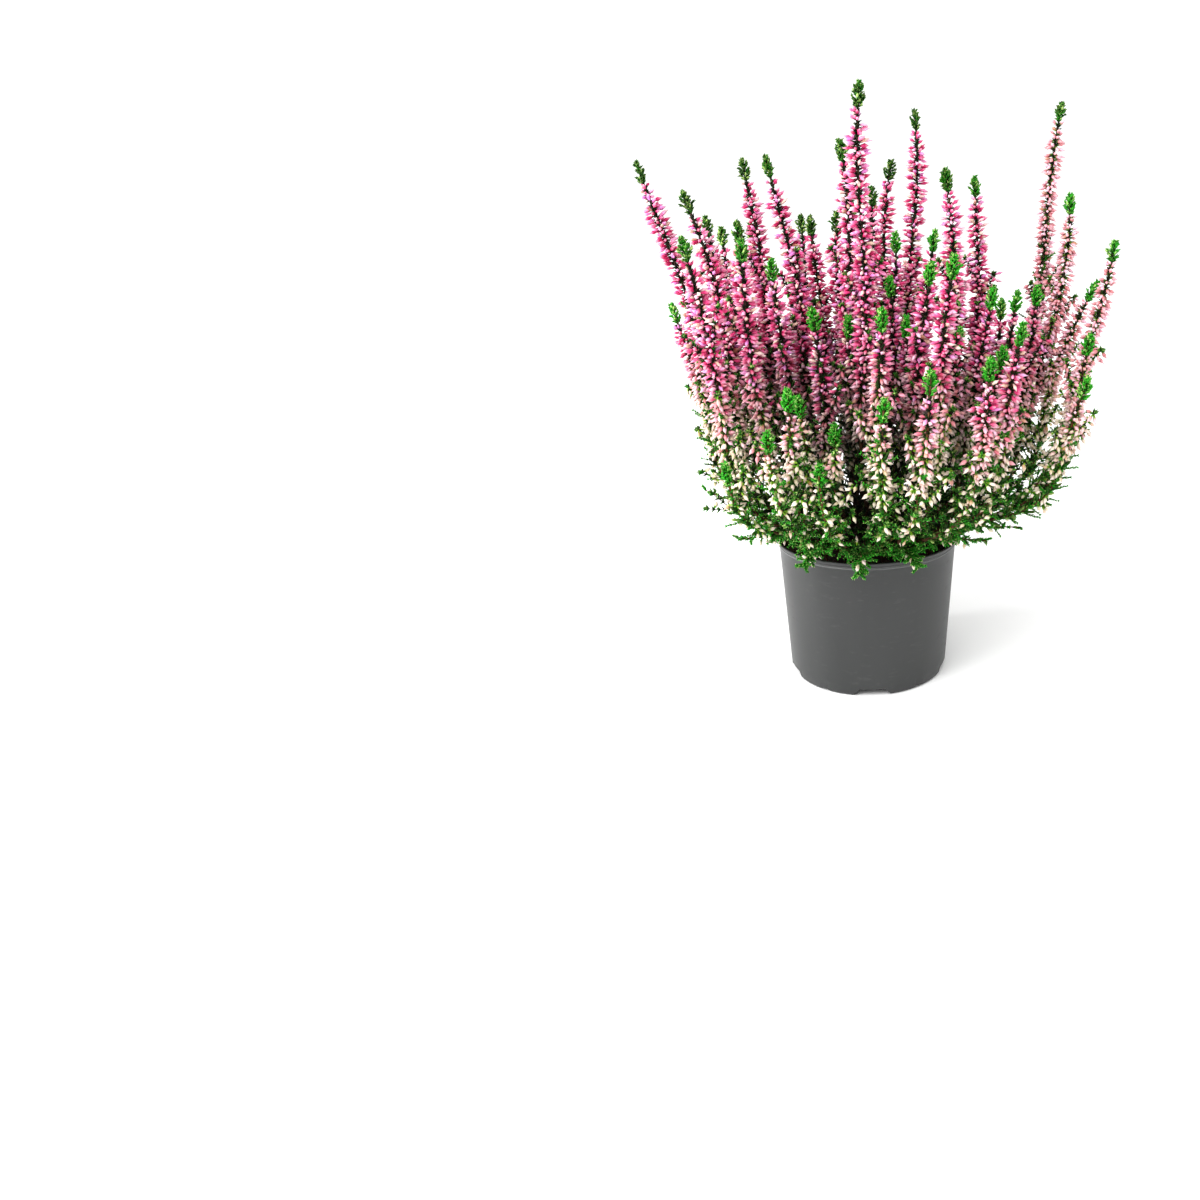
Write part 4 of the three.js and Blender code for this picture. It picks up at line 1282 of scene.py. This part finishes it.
def make_pot(finish):
    """The pot's profile carried round its axis: from the middle of the underside over the foot, up the
    wall, over the rolled lip and down inside. In a notch the foot's points are lifted to its outline,
    a trapezoid over the turn, and the floor above follows a wall's thickness higher."""
    turns, one, period = notch_turns()
    to_wide = np.tile(np.minimum(one, period - one), NOTCH_COUNT) * FOOT_RADIUS
    to_small = period / 2 * FOOT_RADIUS - to_wide
    lift = np.zeros(len(turns))
    for distance, notch in ((to_wide, WIDE_NOTCH), (to_small, SMALL_NOTCH)):
        outline = [0, notch["top"] / 2, notch["bottom"] / 2]
        lift += np.interp(distance, outline, [notch["height"], notch["height"], 0])
    inner_end = FOOT_RADIUS - np.where(to_small < SMALL_NOTCH["bottom"], SMALL_NOTCH_DEPTH, NOTCH_DEPTH)
    slot_start = np.maximum(inner_end, SLOT_PLACE - DRAIN_SLOT["depth"] / 2)
    slot_end = np.maximum(inner_end, SLOT_PLACE + DRAIN_SLOT["depth"] / 2)
    foot = np.maximum(lift, FOOT_BEVEL)
    bevel = foot * 0.4 + lift * 0.6
    flat = np.zeros(len(turns))
    rows = [
        (inner_end, flat), (inner_end, lift), (slot_start, lift), (slot_end, lift),
        (flat + FOOT_RADIUS - FOOT_BEVEL, lift),
        (wall_radius(bevel) - 0.5 * (lift < FOOT_BEVEL), bevel),
        (wall_radius(foot), foot),
    ]
    rows += [(flat + r, flat + z) for r, z in wall_profile()]
    floor = lift + WALL
    rows += [
        (wall_radius(floor + FLOOR_BEVEL) - WALL, floor + FLOOR_BEVEL),
        (flat + FOOT_RADIUS - WALL - FLOOR_BEVEL, floor),
        (slot_end, floor), (slot_start, floor), (inner_end - WALL, floor), (inner_end - WALL, flat + WALL),
    ]
    radius = np.array([r for r, _ in rows])
    height = np.array([z for _, z in rows])
    grid = np.stack([radius * np.cos(turns), radius * np.sin(turns), height], -1)
    points = np.vstack([[0, 0, 0], grid.reshape(-1, 3), [0, 0, WALL]])
    half_slot = DRAIN_SLOT["width"] / 2
    open_slot = (to_wide < half_slot) & (np.roll(to_wide, -1) < half_slot + 1)
    mesh = bpy.data.meshes.new("nursery_pot")
    mesh.from_pydata((points * MM).tolist(), [], pot_faces(len(rows), len(turns), open_slot))
    merge_doubles(mesh)
    mesh.materials.append(finish)
    mesh.shade_smooth()
    mesh.set_sharp_from_angle(angle=math.radians(SHARP_ANGLE))
    place_piece(bpy.data.objects.new("nursery_pot", mesh), "pot")


# Studio

def make_camera():
    """The photograph's camera: its focal length and aim are in pixels of the photograph's square frame."""
    data = bpy.data.cameras.new("camera")
    data.sensor_width = SENSOR
    data.lens = SENSOR * FOCAL_PIXELS / FRAME_PIXELS
    data.shift_x = (FRAME_PIXELS / 2 - AIM_PIXEL[0]) / FRAME_PIXELS
    data.shift_y = (AIM_PIXEL[1] - FRAME_PIXELS / 2) / FRAME_PIXELS
    camera = bpy.data.objects.new("camera", data)
    pitch = Matrix.Rotation(math.radians(90 - CAMERA_PITCH), 4, "X")
    roll = Matrix.Rotation(math.radians(CAMERA_ROLL), 4, "Z")
    camera.matrix_world = Matrix.Translation([c * MM for c in CAMERA_PLACE]) @ pitch @ roll
    bpy.context.scene.collection.objects.link(camera)
    bpy.context.scene.camera = camera


def make_light(name, place, aim, size, power):
    """A soft rectangular lamp at a place, facing an aim, both in metres."""
    data = bpy.data.lights.new(name, "AREA")
    data.shape = "RECTANGLE"
    data.size, data.size_y = size
    data.energy = power
    lamp = bpy.data.objects.new(name, data)
    lamp.location = place
    direction = Vector(np.subtract(aim, place).tolist())
    lamp.rotation_euler = direction.to_track_quat("-Z", "Y").to_euler()
    bpy.context.scene.collection.objects.link(lamp)


def make_studio():
    """A pale floor under an even white sky, with a broad sun from the front left, a soft key lamp from the
    upper left, and a slim strip lamp low on the left."""
    world = bpy.data.worlds.new("sky")
    world.use_nodes = True
    background = world.node_tree.nodes["Background"]
    background.inputs["Color"].default_value = (1, 1, 1, 1)
    background.inputs["Strength"].default_value = 1.0
    bpy.context.scene.world = world
    mesh = bpy.data.meshes.new("floor")
    corners = [(x * FLOOR_REACH, y * FLOOR_REACH, 0) for x, y in ((-1, -1), (1, -1), (1, 1), (-1, 1))]
    mesh.from_pydata(corners, [], [(0, 1, 2, 3)])
    s = Shader("floor_white")
    mesh.materials.append(s.finish(Base_Color=paint("#f7f7f7"), Roughness=0.9))
    floor = bpy.data.objects.new("floor", mesh)
    bpy.context.scene.collection.objects.link(floor)
    sun = bpy.data.lights.new("sun", "SUN")
    sun.energy = SUN_STRENGTH
    sun.angle = math.radians(SUN_WIDTH)
    lamp = bpy.data.objects.new("sun", sun)
    lamp.rotation_euler = np.radians(SUN_TURN).tolist()
    bpy.context.scene.collection.objects.link(lamp)
    for name, settings in LAMPS.items():
        make_light(name, **settings)
    view = bpy.context.scene.view_settings
    view.view_transform = "Standard"
    view.look = "Medium High Contrast"


def make_heather():
    """All the pieces: the pot, the root ball, and each stem and shoot in the place of its own solid."""
    finishes = [bud_finish(), leaf_finish(), bark_finish()]
    make_pot(plastic_finish())
    make_soil(peat_finish())
    for number, spike in enumerate(share_stems(plant_spikes()), 1):
        make_stem(number, spike, finishes)
    for number, (turn, reach, tip_height) in enumerate(LEAFY_SHOOTS, 1):
        make_shoot(number, turn, reach, tip_height, finishes)


make_camera()
make_studio()
make_heather()
